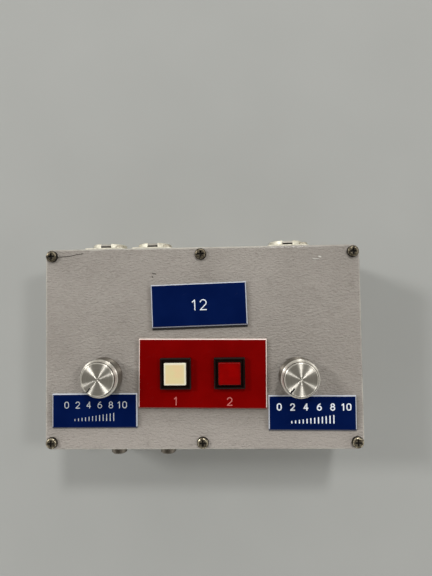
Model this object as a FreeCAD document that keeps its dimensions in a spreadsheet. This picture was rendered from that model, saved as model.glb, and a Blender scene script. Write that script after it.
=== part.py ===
"""Desk control box with two volume knobs and two push buttons, in millimetres with +Z up.

The origin lies on the desk under the middle of the box. +X is the user's right. The three XLR
receptacles are on the rear wall (+Y), and the two headphone jacks on the front wall (-Y).
"""
import FreeCAD, Part
import math
import os
import Sketcher
from FreeCAD import Vector

DOCUMENT = FreeCAD.newDocument("desk_control_box")
PARTS_FOLDER = "parts"
FULL_TURN = 360.0
SAME_PLACE = 0.01
CONTACT_ANGLES = (30, 150, 270)

SIZES = {
    # cast enclosure, measured at the rim where lid and shell meet
    "box_width": 188.0,
    "box_depth": 119.5,
    "shell_height": 53.0,
    "draft_angle": 1.5,
    "wall": 2.3,
    "floor_thickness": 2.5,
    "corner_radius": 4.0,
    "base_round": 2.0,
    "boss_inset": 4.3,
    "boss_diameter": 8.4,
    "boss_round": 2.5,
    "boss_bore_depth": 16.0,
    "lid_thickness": 3.0,
    "lid_round": 1.4,
    "lip_height": 2.0,
    "lip_thickness": 1.5,
    "lip_gap": 0.3,
    # rubber feet
    "foot_diameter": 12.7,
    "foot_height": 3.5,
    "foot_taper": 10.0,
    "foot_inset_x": 16.0,
    "foot_inset_y": 14.0,
    # pan-head screws of the lid
    "lid_screw_diameter": 3.5,
    "lid_screw_length": 14.0,
    "lid_screw_head": 6.9,
    "lid_screw_head_height": 2.3,
    "lid_screw_head_round": 1.4,
    "screw_hole_gap": 0.25,
    "thread_gap": 0.05,
    "cross_width": 0.9,
    "cross_length": 3.6,
    "cross_depth": 1.1,
    # engraved laminate plates; the title plate lies behind the button plate, and the scale plates
    # fill the lid from the button plate to its sides
    "plate_thickness": 1.6,
    "plate_bevel": 0.9,
    "title_width": 56.6,
    "title_depth": 25.5,
    "title_x": -1.3,
    "title_gap": 7.3,
    "title_turn": 1.5,
    "button_plate_width": 75.5,
    "button_plate_depth": 40.8,
    "button_plate_x": 0.3,
    "button_plate_setback": 24.1,
    "button_plate_turn": -0.7,
    "scale_depth": 20.2,
    "left_scale_inset": 4.75,
    "left_scale_gap": 1.1,
    "left_scale_setback": 13.05,
    "right_scale_inset": 4.65,
    "right_scale_gap": 0.6,
    "right_scale_setback": 11.15,
    "right_scale_turn": -0.4,
    # volume controls, placed from the sides and the front edge of the lid
    "left_knob_inset": 36.1,
    "left_knob_setback": 43.75,
    "right_knob_inset": 38.1,
    "right_knob_setback": 42.75,
    "knob_rest_turn": 40.0,
    "knob_diameter": 22.2,
    "knob_height": 13.3,
    "knob_side_draft": 0.2,
    "knob_cone_width": 1.65,
    "knob_cone_height": 3.5,
    "knob_face_rim": 0.6,
    "knob_dish_depth": 0.3,
    "knob_gap": 0.6,
    "knob_nut_gap": 1.0,
    "knob_bushing_gap": 1.1,
    "knob_roof": 1.4,
    "grub_diameter": 3.0,
    "grub_sink": 1.2,
    "grub_key": 1.5,
    "shaft_diameter": 6.35,
    "shaft_gap": 0.05,
    "shaft_end_gap": 0.2,
    "shaft_foot": 1.5,
    "bushing_diameter": 9.5,
    "bushing_length": 9.5,
    "panel_hole_gap": 0.15,
    "pot_diameter": 24.0,
    "pot_flange": 1.0,
    "track_thickness": 1.2,
    "track_bore": 10.0,
    "tongue_width": 13.0,
    "tongue_reach": 17.0,
    "cover_height": 8.5,
    "cover_wall": 0.6,
    "wiper_diameter": 17.0,
    "wiper_thickness": 1.5,
    "wiper_drop": 1.3,
    "tag_width": 2.4,
    "tag_thickness": 0.5,
    "tag_length": 7.0,
    "tag_pitch": 4.2,
    "tag_setback": 1.0,
    "control_nut": 12.7,
    "control_nut_height": 2.4,
    "control_washer": 14.0,
    "washer_thickness": 0.6,
    # push buttons, placed from the middle of their plate
    "button_row_x": 0.2,
    "button_row_y": 0.6,
    "button_pitch": 31.5,
    "bezel_width": 18.0,
    "bezel_height": 3.6,
    "bezel_wall": 1.3,
    "bezel_chamfer": 0.5,
    "well_floor": 0.3,
    "barrel_diameter": 15.8,
    "barrel_length": 20.0,
    "barrel_gap": 0.2,
    "stem_diameter": 10.8,
    "stem_gap": 0.1,
    "stem_length": 11.0,
    "button_travel": 2.0,
    "stop_gap": 0.1,
    "carrier_gap": 0.3,
    "carrier_thickness": 0.7,
    "lens_inset": 1.05,
    "lens_height": 2.3,
    "lens_round": 0.5,
    "switch_base_height": 7.0,
    "switch_nut": 20.0,
    "switch_nut_height": 3.0,
    "pin_width": 2.8,
    "pin_thickness": 0.5,
    "pin_length": 6.0,
    "pin_pitch": 6.0,
    # XLR receptacles, placed from the sides and the rim of the rear wall
    "left_xlr_inset": 32.0,
    "xlr_spacing": 4.0,
    "right_xlr_inset": 40.0,
    "xlr_drop": 25.0,
    "xlr_flange_width": 26.0,
    "xlr_flange_height": 31.0,
    "xlr_flange_thickness": 2.6,
    "xlr_flange_corner": 3.0,
    "xlr_flange_chamfer": 0.4,
    "xlr_bore": 19.3,
    "collar_wall": 1.25,
    "collar_height": 6.0,
    "xlr_barrel_wall": 2.15,
    "xlr_barrel_depth": 15.0,
    "xlr_hole_gap": 0.2,
    "insert_diameter": 15.8,
    "insert_setback": 1.0,
    "insert_base": 3.0,
    "insert_gap": 0.05,
    "contact_circle": 7.2,
    "contact_diameter": 3.0,
    "contact_wall": 0.3,
    "contact_setback": 1.0,
    "contact_gap": 0.05,
    "cup_diameter": 2.2,
    "cup_length": 5.0,
    "latch_slot_width": 6.4,
    "latch_slot_depth": 9.5,
    "latch_slot_overlap": 0.65,
    "latch_slot_reach": 3.25,
    "latch_side_gap": 0.3,
    "latch_pin_diameter": 1.0,
    "latch_pin_length": 9.2,
    "latch_pin_offset": 1.75,
    "latch_pin_gap": 0.05,
    "latch_eye": 1.9,
    "latch_tab_reach": 5.3,
    "latch_tab_thickness": 1.5,
    "latch_arm_reach": 7.6,
    "latch_arm_drop": 0.24,
    "latch_arm_thickness": 0.9,
    "latch_hook_width": 1.6,
    "latch_hook_reach": 0.55,
    "xlr_screw_inset": 3.5,
    "xlr_screw_diameter": 2.9,
    "xlr_screw_length": 8.0,
    "xlr_screw_head": 5.2,
    "xlr_screw_head_height": 1.5,
    "xlr_screw_head_round": 0.9,
    "xlr_nut": 5.5,
    "xlr_nut_height": 2.2,
    # headphone jacks, placed from the side and the rim of the front wall
    "left_jack_inset": 39.5,
    "jack_pitch": 31.2,
    "jack_drop": 16.5,
    "jack_bore": 6.4,
    "jack_bushing_diameter": 9.5,
    "jack_bushing_reach": 8.0,
    "jack_plate_width": 14.0,
    "jack_plate_height": 18.0,
    "jack_sheet": 1.2,
    "jack_leg_width": 9.0,
    "jack_leg_length": 12.0,
    "jack_leg_rise": 8.0,
    "stack_start": 1.5,
    "stack_length": 7.0,
    "wafer_thickness": 0.8,
    "wafer_width": 8.0,
    "leaf_thickness": 0.4,
    "leaf_width": 5.0,
    "ring_leaf_reach": 4.0,
    "tip_leaf_reach": 9.5,
    "leaf_bend": 2.5,
    "leaf_touch": 2.2,
}


class Size:
    """A driving dimension, or a formula of some: its value now, and its expression on the sheet."""

    def __init__(self, value, text):
        self.value = value
        self.text = text

    def __add__(self, other):
        return Size(self.value + number(other), f"({self.text} + {text(other)})")

    def __radd__(self, other):
        return Size(number(other) + self.value, f"({text(other)} + {self.text})")

    def __sub__(self, other):
        return Size(self.value - number(other), f"({self.text} - {text(other)})")

    def __rsub__(self, other):
        return Size(number(other) - self.value, f"({text(other)} - {self.text})")

    def __mul__(self, other):
        return Size(self.value * number(other), f"({self.text} * {text(other)})")

    __rmul__ = __mul__

    def __truediv__(self, other):
        return Size(self.value / number(other), f"({self.text} / {text(other)})")

    def __neg__(self):
        return Size(-self.value, f"(-1 * {self.text})")


def number(amount):
    """Value of a Size or of a plain number."""
    return amount.value if isinstance(amount, Size) else float(amount)


def text(amount):
    """Expression of a Size or of a plain number."""
    return amount.text if isinstance(amount, Size) else repr(float(amount))


def cosine(angle):
    return Size(math.cos(math.radians(number(angle))), f"cos({text(angle)})")


def sine(angle):
    return Size(math.sin(math.radians(number(angle))), f"sin({text(angle)})")


def tangent(angle):
    return Size(math.tan(math.radians(number(angle))), f"tan({text(angle)})")


def across_corners(across_flats):
    """Width of a hexagon over its corners."""
    return across_flats / cosine(FULL_TURN / 12)


class SizeSheet:
    """The document's sheet of driving dimensions, each one an attribute."""

    def __init__(self, sizes):
        sheet = DOCUMENT.addObject("Spreadsheet::Sheet", "Sizes")
        for row, (word, value) in enumerate(sizes.items(), 1):
            sheet.set(f"A{row}", word)
            sheet.set(f"B{row}", str(value))
            sheet.setAlias(f"B{row}", word)
            setattr(self, word, Size(value, f"Sizes.{word}"))
        DOCUMENT.recompute()


size = SizeSheet(SIZES)

AXES = {"X": "vector(1; 0; 0)", "Y": "vector(0; 1; 0)", "Z": "vector(0; 0; 1)"}
ORIGIN = (0, 0, 0)


def placement(at, turns=()):
    """Expression that turns a thing about the axes listed, the last one first, and moves it."""
    x, y, z = (text(place) for place in at)
    spins = [f"rotation({AXES[axis]}; {text(angle)})" for axis, angle in turns or (("Z", 0),)]
    return f"placement(vector({x}; {y}; {z}); {' * '.join(spins)})"


def bind(thing, what, amount):
    """Set a property to a plain number, or bind it to the sheet."""
    if isinstance(amount, Size):
        thing.setExpression(what, amount.text)
    else:
        setattr(thing, what, amount)


def new_body(label, at=ORIGIN, turns=()):
    """A sub-part: its label names its file, and its placement is bound to the sheet."""
    body = DOCUMENT.addObject("PartDesign::Body", label)
    body.Label = label
    body.setExpression("Placement", placement(at, turns))
    return body


class Drawing:
    """A sketch on one of its body's own planes, fully dimensioned from the sketch origin."""

    H_AXIS, V_AXIS = range(-1, -3, -1)
    SKETCH_ORIGIN = H_AXIS
    START, END, CENTRE = range(1, 4)

    def __init__(self, body, name, plane="XY_Plane", at=ORIGIN, turns=()):
        self.body = body
        self.sketch = body.newObject("Sketcher::SketchObject", name)
        support = [plate for plate in body.Origin.OriginFeatures if plate.Role == plane]
        self.sketch.AttachmentSupport = [(support[0], "")]
        self.sketch.MapMode = "FlatFace"
        self.sketch.setExpression("AttachmentOffset", placement(at, turns))

    def constrain(self, kind, *where):
        """Add a constraint; a Size at the end of it is bound to the sheet."""
        *places, last = where
        row = self.sketch.addConstraint(Sketcher.Constraint(kind, *places, number(last))
                                        if isinstance(last, Size)
                                        else Sketcher.Constraint(kind, *where))
        if isinstance(last, Size):
            self.sketch.setExpression(f"Constraints[{row}]", last.text)

    def pin(self, geometry, point, x, y):
        """Hold one point of a line, arc or circle at x, y."""
        for kind, axis, place in (("DistanceX", self.V_AXIS, x), ("DistanceY", self.H_AXIS, y)):
            if isinstance(place, Size):
                self.constrain(kind, self.SKETCH_ORIGIN, self.START, geometry, point, place)
            elif place:
                self.constrain(kind, self.SKETCH_ORIGIN, self.START, geometry, point,
                               Size(float(place), repr(float(place))))
            else:
                self.constrain("PointOnObject", geometry, point, axis)

    def circle(self, diameter, x=0, y=0):
        centre = Vector(number(x), number(y), 0)
        ring = self.sketch.addGeometry(Part.Circle(centre, Vector(0, 0, 1), number(diameter) / 2))
        self.pin(ring, self.CENTRE, x, y)
        self.constrain("Diameter", ring, diameter)

    def outline(self, points):
        """Closed outline of straight lines through the points."""
        spots = [Vector(number(x), number(y), 0) for x, y in points]
        lines = [self.sketch.addGeometry(Part.LineSegment(spots[i - 1], spots[i]))
                 for i in range(len(spots))]
        for i, line in enumerate(lines):
            self.constrain("Coincident", lines[i - 1], self.END, line, self.START)
        for line, (x, y) in zip(lines, points):
            self.pin(line, self.END, x, y)

    def rectangle(self, width, height, x=0, y=0):
        """Rectangle with its middle at x, y."""
        left, right = x - width / 2, x + width / 2
        low, high = y - height / 2, y + height / 2
        self.outline([(left, low), (right, low), (right, high), (left, high)])

    def hexagon(self, across_flats, x=0, y=0):
        reach = across_corners(across_flats) / 2
        corners = [math.radians(FULL_TURN / 6 * i) for i in range(6)]
        self.outline([(x + reach * math.cos(turn), y + reach * math.sin(turn)) for turn in corners])


def finish(feature):
    """Recompute, and make the feature the one that its body shows."""
    feature.getParentGeoFeatureGroup().Tip = feature
    DOCUMENT.recompute()
    return feature


def pad(drawing, length, down=False, taper=0):
    feature = drawing.body.newObject("PartDesign::Pad", "Pad")
    feature.Profile = drawing.sketch
    feature.Reversed = down
    bind(feature, "Length", length)
    bind(feature, "TaperAngle", taper)
    return finish(feature)


def pocket(drawing, depth, up=False, taper=0):
    """Cut the drawing's shape out of its body, downwards unless it says up."""
    feature = drawing.body.newObject("PartDesign::Pocket", "Pocket")
    feature.Profile = drawing.sketch
    feature.Reversed = up
    bind(feature, "Length", depth)
    bind(feature, "TaperAngle", taper)
    return finish(feature)


def turned(body, profile, name="profile"):
    """Solid of revolution about the body's Z axis; the profile's points are (radius, height)."""
    drawing = Drawing(body, name, "XZ_Plane")
    drawing.outline(profile)
    feature = body.newObject("PartDesign::Revolution", "Revolution")
    feature.Profile = drawing.sketch
    feature.ReferenceAxis = (drawing.sketch, ["V_Axis"])
    feature.Angle = FULL_TURN
    return finish(feature)


def edges(feature, wanted):
    """Names of the edges of a feature that pass the test."""
    return [f"Edge{i}" for i, edge in enumerate(feature.Shape.Edges, 1) if wanted(edge)]


def upright(edge):
    """Edge that rises more than it runs sideways, as those of a wall with draft do."""
    way = edge.tangentAt(edge.FirstParameter)
    return abs(way.z) > math.hypot(way.x, way.y)


def level_at(height):
    """Test for edges that lie at one height."""
    def wanted(edge):
        return all(abs(spot.z - number(height)) < SAME_PLACE for spot in edge.discretize(4))
    return wanted


def dress(kind, feature, wanted, amount):
    """Fillet or chamfer of the edges that pass the test."""
    body = feature.getParentGeoFeatureGroup()
    dressed = body.newObject(f"PartDesign::{kind}", kind)
    dressed.Base = (feature, edges(feature, wanted))
    bind(dressed, "Radius" if kind == "Fillet" else "Size", amount)
    return finish(dressed)


def fillet(feature, wanted, radius):
    return dress("Fillet", feature, wanted, radius)


def chamfer(feature, wanted, amount):
    return dress("Chamfer", feature, wanted, amount)


def row_of(body, axis, length, count):
    """Repeat the whole body in a row along one of its own axes."""
    pattern = body.newObject("PartDesign::LinearPattern", "Row")
    pattern.TransformMode = "Whole shape"
    pattern.Direction = ([line for line in body.Origin.OriginFeatures if line.Role == axis][0], [""])
    bind(pattern, "Length", length)
    pattern.Occurrences = count
    return finish(pattern)


# --- heights, frames and places that several pieces share -----------------------------------------

RIM = size.foot_height + size.shell_height
LID_TOP = RIM + size.lid_thickness
PLATE_TOP = LID_TOP + size.plate_thickness
SLOPE = tangent(size.draft_angle)
SIDE, EDGE = size.box_width / 2, size.box_depth / 2
BOSS_X, BOSS_Y = SIDE - size.boss_inset, EDGE - size.boss_inset
BOSSES = [(BOSS_X * column, BOSS_Y * row) for row in (-1, 1) for column in (-1, 0, 1)]
KNOBS = {
    "left": (size.left_knob_inset - SIDE, size.left_knob_setback - EDGE),
    "right": (SIDE - size.right_knob_inset, size.right_knob_setback - EDGE),
}
KNOB_FOOT = PLATE_TOP + size.knob_gap
BUTTON_PLATE = (size.button_plate_x, size.button_plate_setback + size.button_plate_depth / 2 - EDGE)
BUTTON_X, BUTTON_Y = BUTTON_PLATE[0] + size.button_row_x, BUTTON_PLATE[1] + size.button_row_y
BUTTONS = {"talk": BUTTON_X - size.button_pitch / 2, "mute": BUTTON_X + size.button_pitch / 2}
LEFT_XLR = size.left_xlr_inset - SIDE
XLRS = {
    "left": LEFT_XLR,
    "middle": LEFT_XLR + size.xlr_flange_width + size.xlr_spacing,
    "right": SIDE - size.right_xlr_inset,
}
XLR_BORE = size.xlr_bore / 2
XLR_BARREL = size.xlr_bore + 2 * size.xlr_barrel_wall
LEFT_JACK = size.left_jack_inset - SIDE
JACKS = {"left": LEFT_JACK, "right": LEFT_JACK + size.jack_pitch}


def rear_frame(x, rim=RIM, drop=size.xlr_drop):
    """Place on the outer face of the rear wall: Z points out of the wall and Y up it."""
    at = (x, EDGE - drop * SLOPE, rim - drop)
    return {"at": at, "turns": (("Z", 180), ("X", 90 + size.draft_angle))}


def front_frame(x, rim=RIM, drop=size.jack_drop):
    """Place on the outer face of the front wall: Z points out of the wall and Y down it."""
    at = (x, drop * SLOPE - EDGE, rim - drop)
    return {"at": at, "turns": (("X", 90 + size.draft_angle), ("Z", 180))}


def xlr_screw_places(x=0):
    """The two diagonal screws of one receptacle, in the frame of the rear wall."""
    across = size.xlr_flange_width / 2 - size.xlr_screw_inset
    up = size.xlr_flange_height / 2 - size.xlr_screw_inset
    return [(x - across, up), (x + across, -up)]


# --- enclosure ------------------------------------------------------------------------------------

def cut_cavity(body):
    """Hollow out the shell, leaving six rounded screw bosses against its long walls."""
    side, end = SIDE - size.wall, EDGE - size.wall
    half = size.boss_diameter / 2
    boss_x, boss_y = BOSS_X - half, BOSS_Y - half
    quarter = [(side, boss_y), (boss_x, boss_y), (boss_x, end), (half, end), (half, boss_y)]
    rear = quarter + [(-x, y) for x, y in reversed(quarter)]
    drawing = Drawing(body, "cavity", at=(0, 0, size.shell_height))
    drawing.outline(rear + [(-x, -y) for x, y in rear])
    hollow = pocket(drawing, size.shell_height - size.floor_thickness, taper=-size.draft_angle)

    def boss_corner(edge):
        top = max((corner.Point for corner in edge.Vertexes), key=lambda spot: spot.z)
        beside = any(abs(abs(top.x) - number(x)) < SAME_PLACE for x in (boss_x, half))
        return upright(edge) and beside and abs(abs(top.y) - number(boss_y)) < SAME_PLACE

    return fillet(hollow, boss_corner, size.boss_round)


def enclosure_shell():
    body = new_body("enclosure_shell", at=(0, 0, size.foot_height))
    rim = Drawing(body, "rim", at=(0, 0, size.shell_height))
    rim.rectangle(size.box_width, size.box_depth)
    block = pad(rim, size.shell_height, down=True, taper=-size.draft_angle)
    block = fillet(block, upright, size.corner_radius)
    fillet(block, level_at(0), size.base_round)
    cut_cavity(body)
    threads = Drawing(body, "boss_threads", at=(0, 0, size.shell_height))
    for x, y in BOSSES:
        threads.circle(size.lid_screw_diameter + 2 * size.thread_gap, x, y)
    pocket(threads, size.boss_bore_depth)
    rear = Drawing(body, "rear_wall_holes", **rear_frame(0, rim=size.shell_height))
    for x in XLRS.values():
        rear.circle(XLR_BARREL + 2 * size.xlr_hole_gap, -x)
        for screw_x, screw_y in xlr_screw_places(-x):
            rear.circle(size.xlr_screw_diameter + 2 * size.screw_hole_gap, screw_x, screw_y)
    pocket(rear, size.wall * 2)
    front = Drawing(body, "front_wall_holes", **front_frame(0, rim=size.shell_height))
    for x in JACKS.values():
        front.circle(size.jack_bushing_diameter + 2 * size.panel_hole_gap, -x)
    pocket(front, size.wall * 2)


def add_locating_lip(body):
    """Low ribs under the lid, just inside the walls and clear of the bosses."""
    reach = size.boss_diameter / 2 + 2 * size.lip_gap + size.lip_thickness
    rib_y = EDGE - size.wall - size.lip_gap - size.lip_thickness / 2
    rib_x = SIDE - size.wall - size.lip_gap - size.lip_thickness / 2
    drawing = Drawing(body, "locating_lip")
    for row in (-1, 1):
        for column in (-1, 1):
            drawing.rectangle(BOSS_X - 2 * reach, size.lip_thickness, column * BOSS_X / 2, row * rib_y)
        drawing.rectangle(size.lip_thickness, 2 * (BOSS_Y - reach), row * rib_x, 0)
    pad(drawing, size.lip_height, down=True)


def lid():
    body = new_body("lid", at=(0, 0, RIM))
    outline = Drawing(body, "outline")
    outline.rectangle(size.box_width, size.box_depth)
    plate = pad(outline, size.lid_thickness)
    plate = fillet(plate, upright, size.corner_radius)
    fillet(plate, level_at(size.lid_thickness), size.lid_round)
    add_locating_lip(body)
    holes = Drawing(body, "holes", at=(0, 0, size.lid_thickness))
    for x, y in BOSSES:
        holes.circle(size.lid_screw_diameter + 2 * size.screw_hole_gap, x, y)
    for x, y in KNOBS.values():
        holes.circle(size.bushing_diameter + 2 * size.panel_hole_gap, x, y)
    for x in BUTTONS.values():
        holes.circle(size.barrel_diameter + 2 * size.barrel_gap, x, BUTTON_Y)
    pocket(holes, size.lid_thickness)


def lid_screws(label, row):
    """Three cross-recessed pan-head screws along one long side of the lid."""
    body = new_body(label, at=(-BOSS_X, row * BOSS_Y, LID_TOP))
    shank, head = size.lid_screw_diameter / 2, size.lid_screw_head / 2
    top = size.lid_screw_head_height
    screw = turned(body, [(0, -size.lid_screw_length), (shank, -size.lid_screw_length), (shank, 0),
                          (head, 0), (head, top), (0, top)])
    fillet(screw, level_at(top), size.lid_screw_head_round)
    for length, width in ((size.cross_length, size.cross_width), (size.cross_width, size.cross_length)):
        slot = Drawing(body, "slot", at=(0, 0, top))
        slot.rectangle(length, width)
        pocket(slot, size.cross_depth)
    row_of(body, "X_Axis", 2 * BOSS_X, 3)


def rubber_feet():
    body = new_body("rubber_feet", at=(0, 0, size.foot_height))
    drawing = Drawing(body, "feet")
    for column in (-1, 1):
        for row in (-1, 1):
            drawing.circle(size.foot_diameter, column * (SIDE - size.foot_inset_x),
                           row * (EDGE - size.foot_inset_y))
    pad(drawing, size.foot_height, down=True, taper=-size.foot_taper)


# --- engraved plates ------------------------------------------------------------------------------

def laminate_plate(label, width, depth, at, turn=0):
    """Plate of engraving laminate with all four upper edges bevelled, glued on the lid."""
    body = new_body(label, at=(*at, LID_TOP), turns=(("Z", turn),))
    outline = Drawing(body, "outline")
    outline.rectangle(width, depth)
    blank = pad(outline, size.plate_thickness)
    chamfer(blank, level_at(size.plate_thickness), size.plate_bevel)
    return body


def scale_plate(side):
    """Plate below a knob, from near the side of the lid to near the button plate."""
    direction = 1 if side == "right" else -1
    inset, gap, setback, turn = {
        "left": (size.left_scale_inset, size.left_scale_gap, size.left_scale_setback, 0),
        "right": (size.right_scale_inset, size.right_scale_gap, size.right_scale_setback,
                  size.right_scale_turn),
    }[side]
    outer = direction * (SIDE - inset)
    inner = BUTTON_PLATE[0] + direction * (size.button_plate_width / 2 + gap)
    middle = ((outer + inner) / 2, setback + size.scale_depth / 2 - EDGE)
    laminate_plate(f"{side}_scale_plate", direction * (outer - inner), size.scale_depth, middle, turn)


def title_plate():
    behind = BUTTON_PLATE[1] + size.button_plate_depth / 2 + size.title_gap
    middle = (size.title_x, behind + size.title_depth / 2)
    laminate_plate("title_plate", size.title_width, size.title_depth, middle, size.title_turn)


def button_plate():
    """Plate round both push buttons, with a hole for each barrel."""
    body = laminate_plate("button_plate", size.button_plate_width, size.button_plate_depth,
                          BUTTON_PLATE, size.button_plate_turn)
    along, across = cosine(size.button_plate_turn), sine(size.button_plate_turn)
    holes = Drawing(body, "barrel_holes", at=(0, 0, size.plate_thickness))
    for x in BUTTONS.values():
        step_x, step_y = x - BUTTON_PLATE[0], size.button_row_y
        holes.circle(size.barrel_diameter + 2 * size.barrel_gap,
                     step_x * along + step_y * across, step_y * along - step_x * across)
    pocket(holes, size.plate_thickness)


# --- volume controls ------------------------------------------------------------------------------

def knob_levels():
    """Heights on a knob: the ceiling of its recess, and the rim where its cone starts."""
    ceiling = RIM + size.bushing_length + size.knob_bushing_gap - KNOB_FOOT
    return ceiling, size.knob_height - size.knob_cone_height


def knob(side):
    """Turned knob with a cone up to its dished face, hollow underneath to hide the nut."""
    body = new_body(f"{side}_knob", at=(*KNOBS[side], KNOB_FOOT),
                    turns=(("Z", -size.knob_rest_turn),))
    bore = size.shaft_diameter / 2 + size.shaft_gap
    recess = across_corners(size.control_nut) / 2 + size.knob_nut_gap
    ceiling, rim = knob_levels()
    foot = size.knob_diameter / 2
    shoulder = foot - size.knob_side_draft
    face = shoulder - size.knob_cone_width
    dish = face - size.knob_face_rim
    roof = size.knob_height - size.knob_roof
    low = size.knob_height - size.knob_dish_depth
    turned(body, [
        (0, roof), (bore, roof), (bore, ceiling), (recess, ceiling), (recess, 0), (foot, 0),
        (shoulder, rim), (face, size.knob_height), (dish, size.knob_height), (dish, low), (0, low)])
    screw_hole = Drawing(body, "grub_screw_hole", "XZ_Plane")
    screw_hole.circle(size.grub_diameter + 2 * size.thread_gap, 0, (ceiling + rim) / 2)
    pocket(screw_hole, foot)


def knob_screw(side):
    """Grub screw that clamps a knob to its shaft, with a hexagon socket in its outer end."""
    body = new_body(f"{side}_knob_screw", at=(*KNOBS[side], KNOB_FOOT),
                    turns=(("Z", -size.knob_rest_turn),))
    rise = sum(knob_levels(), Size(0, "0")) / 2
    inner_end = size.shaft_diameter / 2 + size.shaft_gap
    outer_end = size.knob_diameter / 2 - size.grub_sink
    shank = Drawing(body, "shank", "XZ_Plane", at=(0, 0, -inner_end))
    shank.circle(size.grub_diameter, 0, rise)
    pad(shank, outer_end - inner_end, down=True)
    socket = Drawing(body, "socket", "XZ_Plane", at=(0, 0, -outer_end))
    socket.hexagon(size.grub_key, 0, rise)
    pocket(socket, size.grub_key, up=True)


def pot_shaft(side):
    """Control shaft with the wiper disc that turns inside the can."""
    body = new_body(f"{side}_pot_shaft", at=(*KNOBS[side], RIM))
    shaft, disc = size.shaft_diameter / 2, size.wiper_diameter / 2
    top = KNOB_FOOT - RIM + size.knob_height - size.knob_roof - size.shaft_end_gap
    disc_top = -(size.pot_flange + size.track_thickness + size.wiper_drop)
    foot = disc_top - size.wiper_thickness - size.shaft_foot
    turned(body, [(0, foot), (shaft, foot), (shaft, disc_top - size.wiper_thickness),
                  (disc, disc_top - size.wiper_thickness), (disc, disc_top), (shaft, disc_top),
                  (shaft, top), (0, top)])


def pot_bushing(side):
    """Threaded bushing that passes up through the lid, with the flange under it."""
    body = new_body(f"{side}_pot_bushing", at=(*KNOBS[side], RIM))
    bore, neck = size.shaft_diameter / 2 + size.shaft_gap, size.bushing_diameter / 2
    flange = size.pot_diameter / 2
    turned(body, [(bore, -size.pot_flange), (flange, -size.pot_flange), (flange, 0), (neck, 0),
                  (neck, size.bushing_length), (bore, size.bushing_length)])


def pot_track(side):
    """Resistance wafer, with a tongue that carries the solder tags."""
    body = new_body(f"{side}_pot_track", at=(*KNOBS[side], RIM - size.pot_flange))
    disc = Drawing(body, "disc")
    disc.circle(size.pot_diameter)
    pad(disc, size.track_thickness, down=True)
    tongue = Drawing(body, "tongue")
    tongue.rectangle(size.tongue_width, size.tongue_reach, 0, size.tongue_reach / 2)
    pad(tongue, size.track_thickness, down=True)
    bore = Drawing(body, "bore")
    bore.circle(size.track_bore)
    pocket(bore, size.track_thickness)


def pot_cover(side):
    """Drawn metal can that closes a control from below."""
    body = new_body(f"{side}_pot_cover", at=(*KNOBS[side], RIM - size.pot_flange - size.track_thickness))
    outer = size.pot_diameter / 2
    inner = outer - size.cover_wall
    ceiling = size.cover_wall - size.cover_height
    turned(body, [(0, -size.cover_height), (outer, -size.cover_height), (outer, 0), (inner, 0),
                  (inner, ceiling), (0, ceiling)])


def pot_terminals():
    body = new_body("pot_terminals", at=(0, 0, RIM - size.pot_flange - size.track_thickness))
    tags = Drawing(body, "tags")
    for x, y in KNOBS.values():
        for column in (-1, 0, 1):
            tags.rectangle(size.tag_width, size.tag_thickness, x + column * size.tag_pitch,
                           y + size.tongue_reach - size.tag_setback)
    pad(tags, size.tag_length, down=True)


def pot_fasteners():
    """Washer and hexagon nut that hold each control to the lid, hidden inside its knob."""
    washers = new_body("pot_washers", at=(0, 0, LID_TOP))
    rings = Drawing(washers, "rings")
    nuts = new_body("pot_nuts", at=(0, 0, LID_TOP + size.washer_thickness))
    hexagons = Drawing(nuts, "hexagons")
    hole = size.bushing_diameter + 2 * size.thread_gap
    for x, y in KNOBS.values():
        rings.circle(size.control_washer, x, y)
        hexagons.hexagon(size.control_nut, x, y)
        for drawing in (rings, hexagons):
            drawing.circle(hole, x, y)
    pad(rings, size.washer_thickness)
    pad(hexagons, size.control_nut_height)


# --- push buttons ---------------------------------------------------------------------------------

def bezel(name):
    """Square bezel with a well for the lens, in one piece with the barrel below the lid."""
    body = new_body(f"{name}_bezel", at=(BUTTONS[name], BUTTON_Y, PLATE_TOP))
    frame = Drawing(body, "frame")
    frame.rectangle(size.bezel_width, size.bezel_width)
    block = pad(frame, size.bezel_height)
    block = chamfer(block, level_at(size.bezel_height), size.bezel_chamfer)
    fillet(block, upright, size.bezel_chamfer)
    barrel = Drawing(body, "barrel")
    barrel.circle(size.barrel_diameter)
    pad(barrel, size.barrel_length, down=True)
    well = Drawing(body, "well", at=(0, 0, size.bezel_height))
    well.rectangle(BEZEL_WELL, BEZEL_WELL)
    pocket(well, size.bezel_height - size.well_floor)
    bore = Drawing(body, "bore", at=(0, 0, size.bezel_height))
    bore.circle(size.stem_diameter + 2 * size.stem_gap)
    pocket(bore, size.bezel_height + size.barrel_length)


BEZEL_WELL = size.bezel_width - 2 * size.bezel_wall
CARRIER = BEZEL_WELL - 2 * size.carrier_gap
CARRIER_FOOT = size.well_floor + size.button_travel + size.stop_gap


def plunger(name):
    """Square carrier of the lens on a round stem that slides in the barrel."""
    body = new_body(f"{name}_plunger", at=(BUTTONS[name], BUTTON_Y, PLATE_TOP + CARRIER_FOOT))
    carrier = Drawing(body, "carrier")
    carrier.rectangle(CARRIER, CARRIER)
    pad(carrier, size.carrier_thickness)
    stem = Drawing(body, "stem")
    stem.circle(size.stem_diameter)
    pad(stem, size.stem_length, down=True)


def lens(name):
    """Coloured lens cap with softened upper edges."""
    body = new_body(f"{name}_lens", at=(BUTTONS[name], BUTTON_Y,
                                        PLATE_TOP + CARRIER_FOOT + size.carrier_thickness))
    width = CARRIER - 2 * size.lens_inset
    outline = Drawing(body, "outline")
    outline.rectangle(width, width)
    cap = pad(outline, size.lens_height)
    cap = fillet(cap, upright, size.lens_round)
    fillet(cap, level_at(size.lens_height), size.lens_round)


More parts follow.
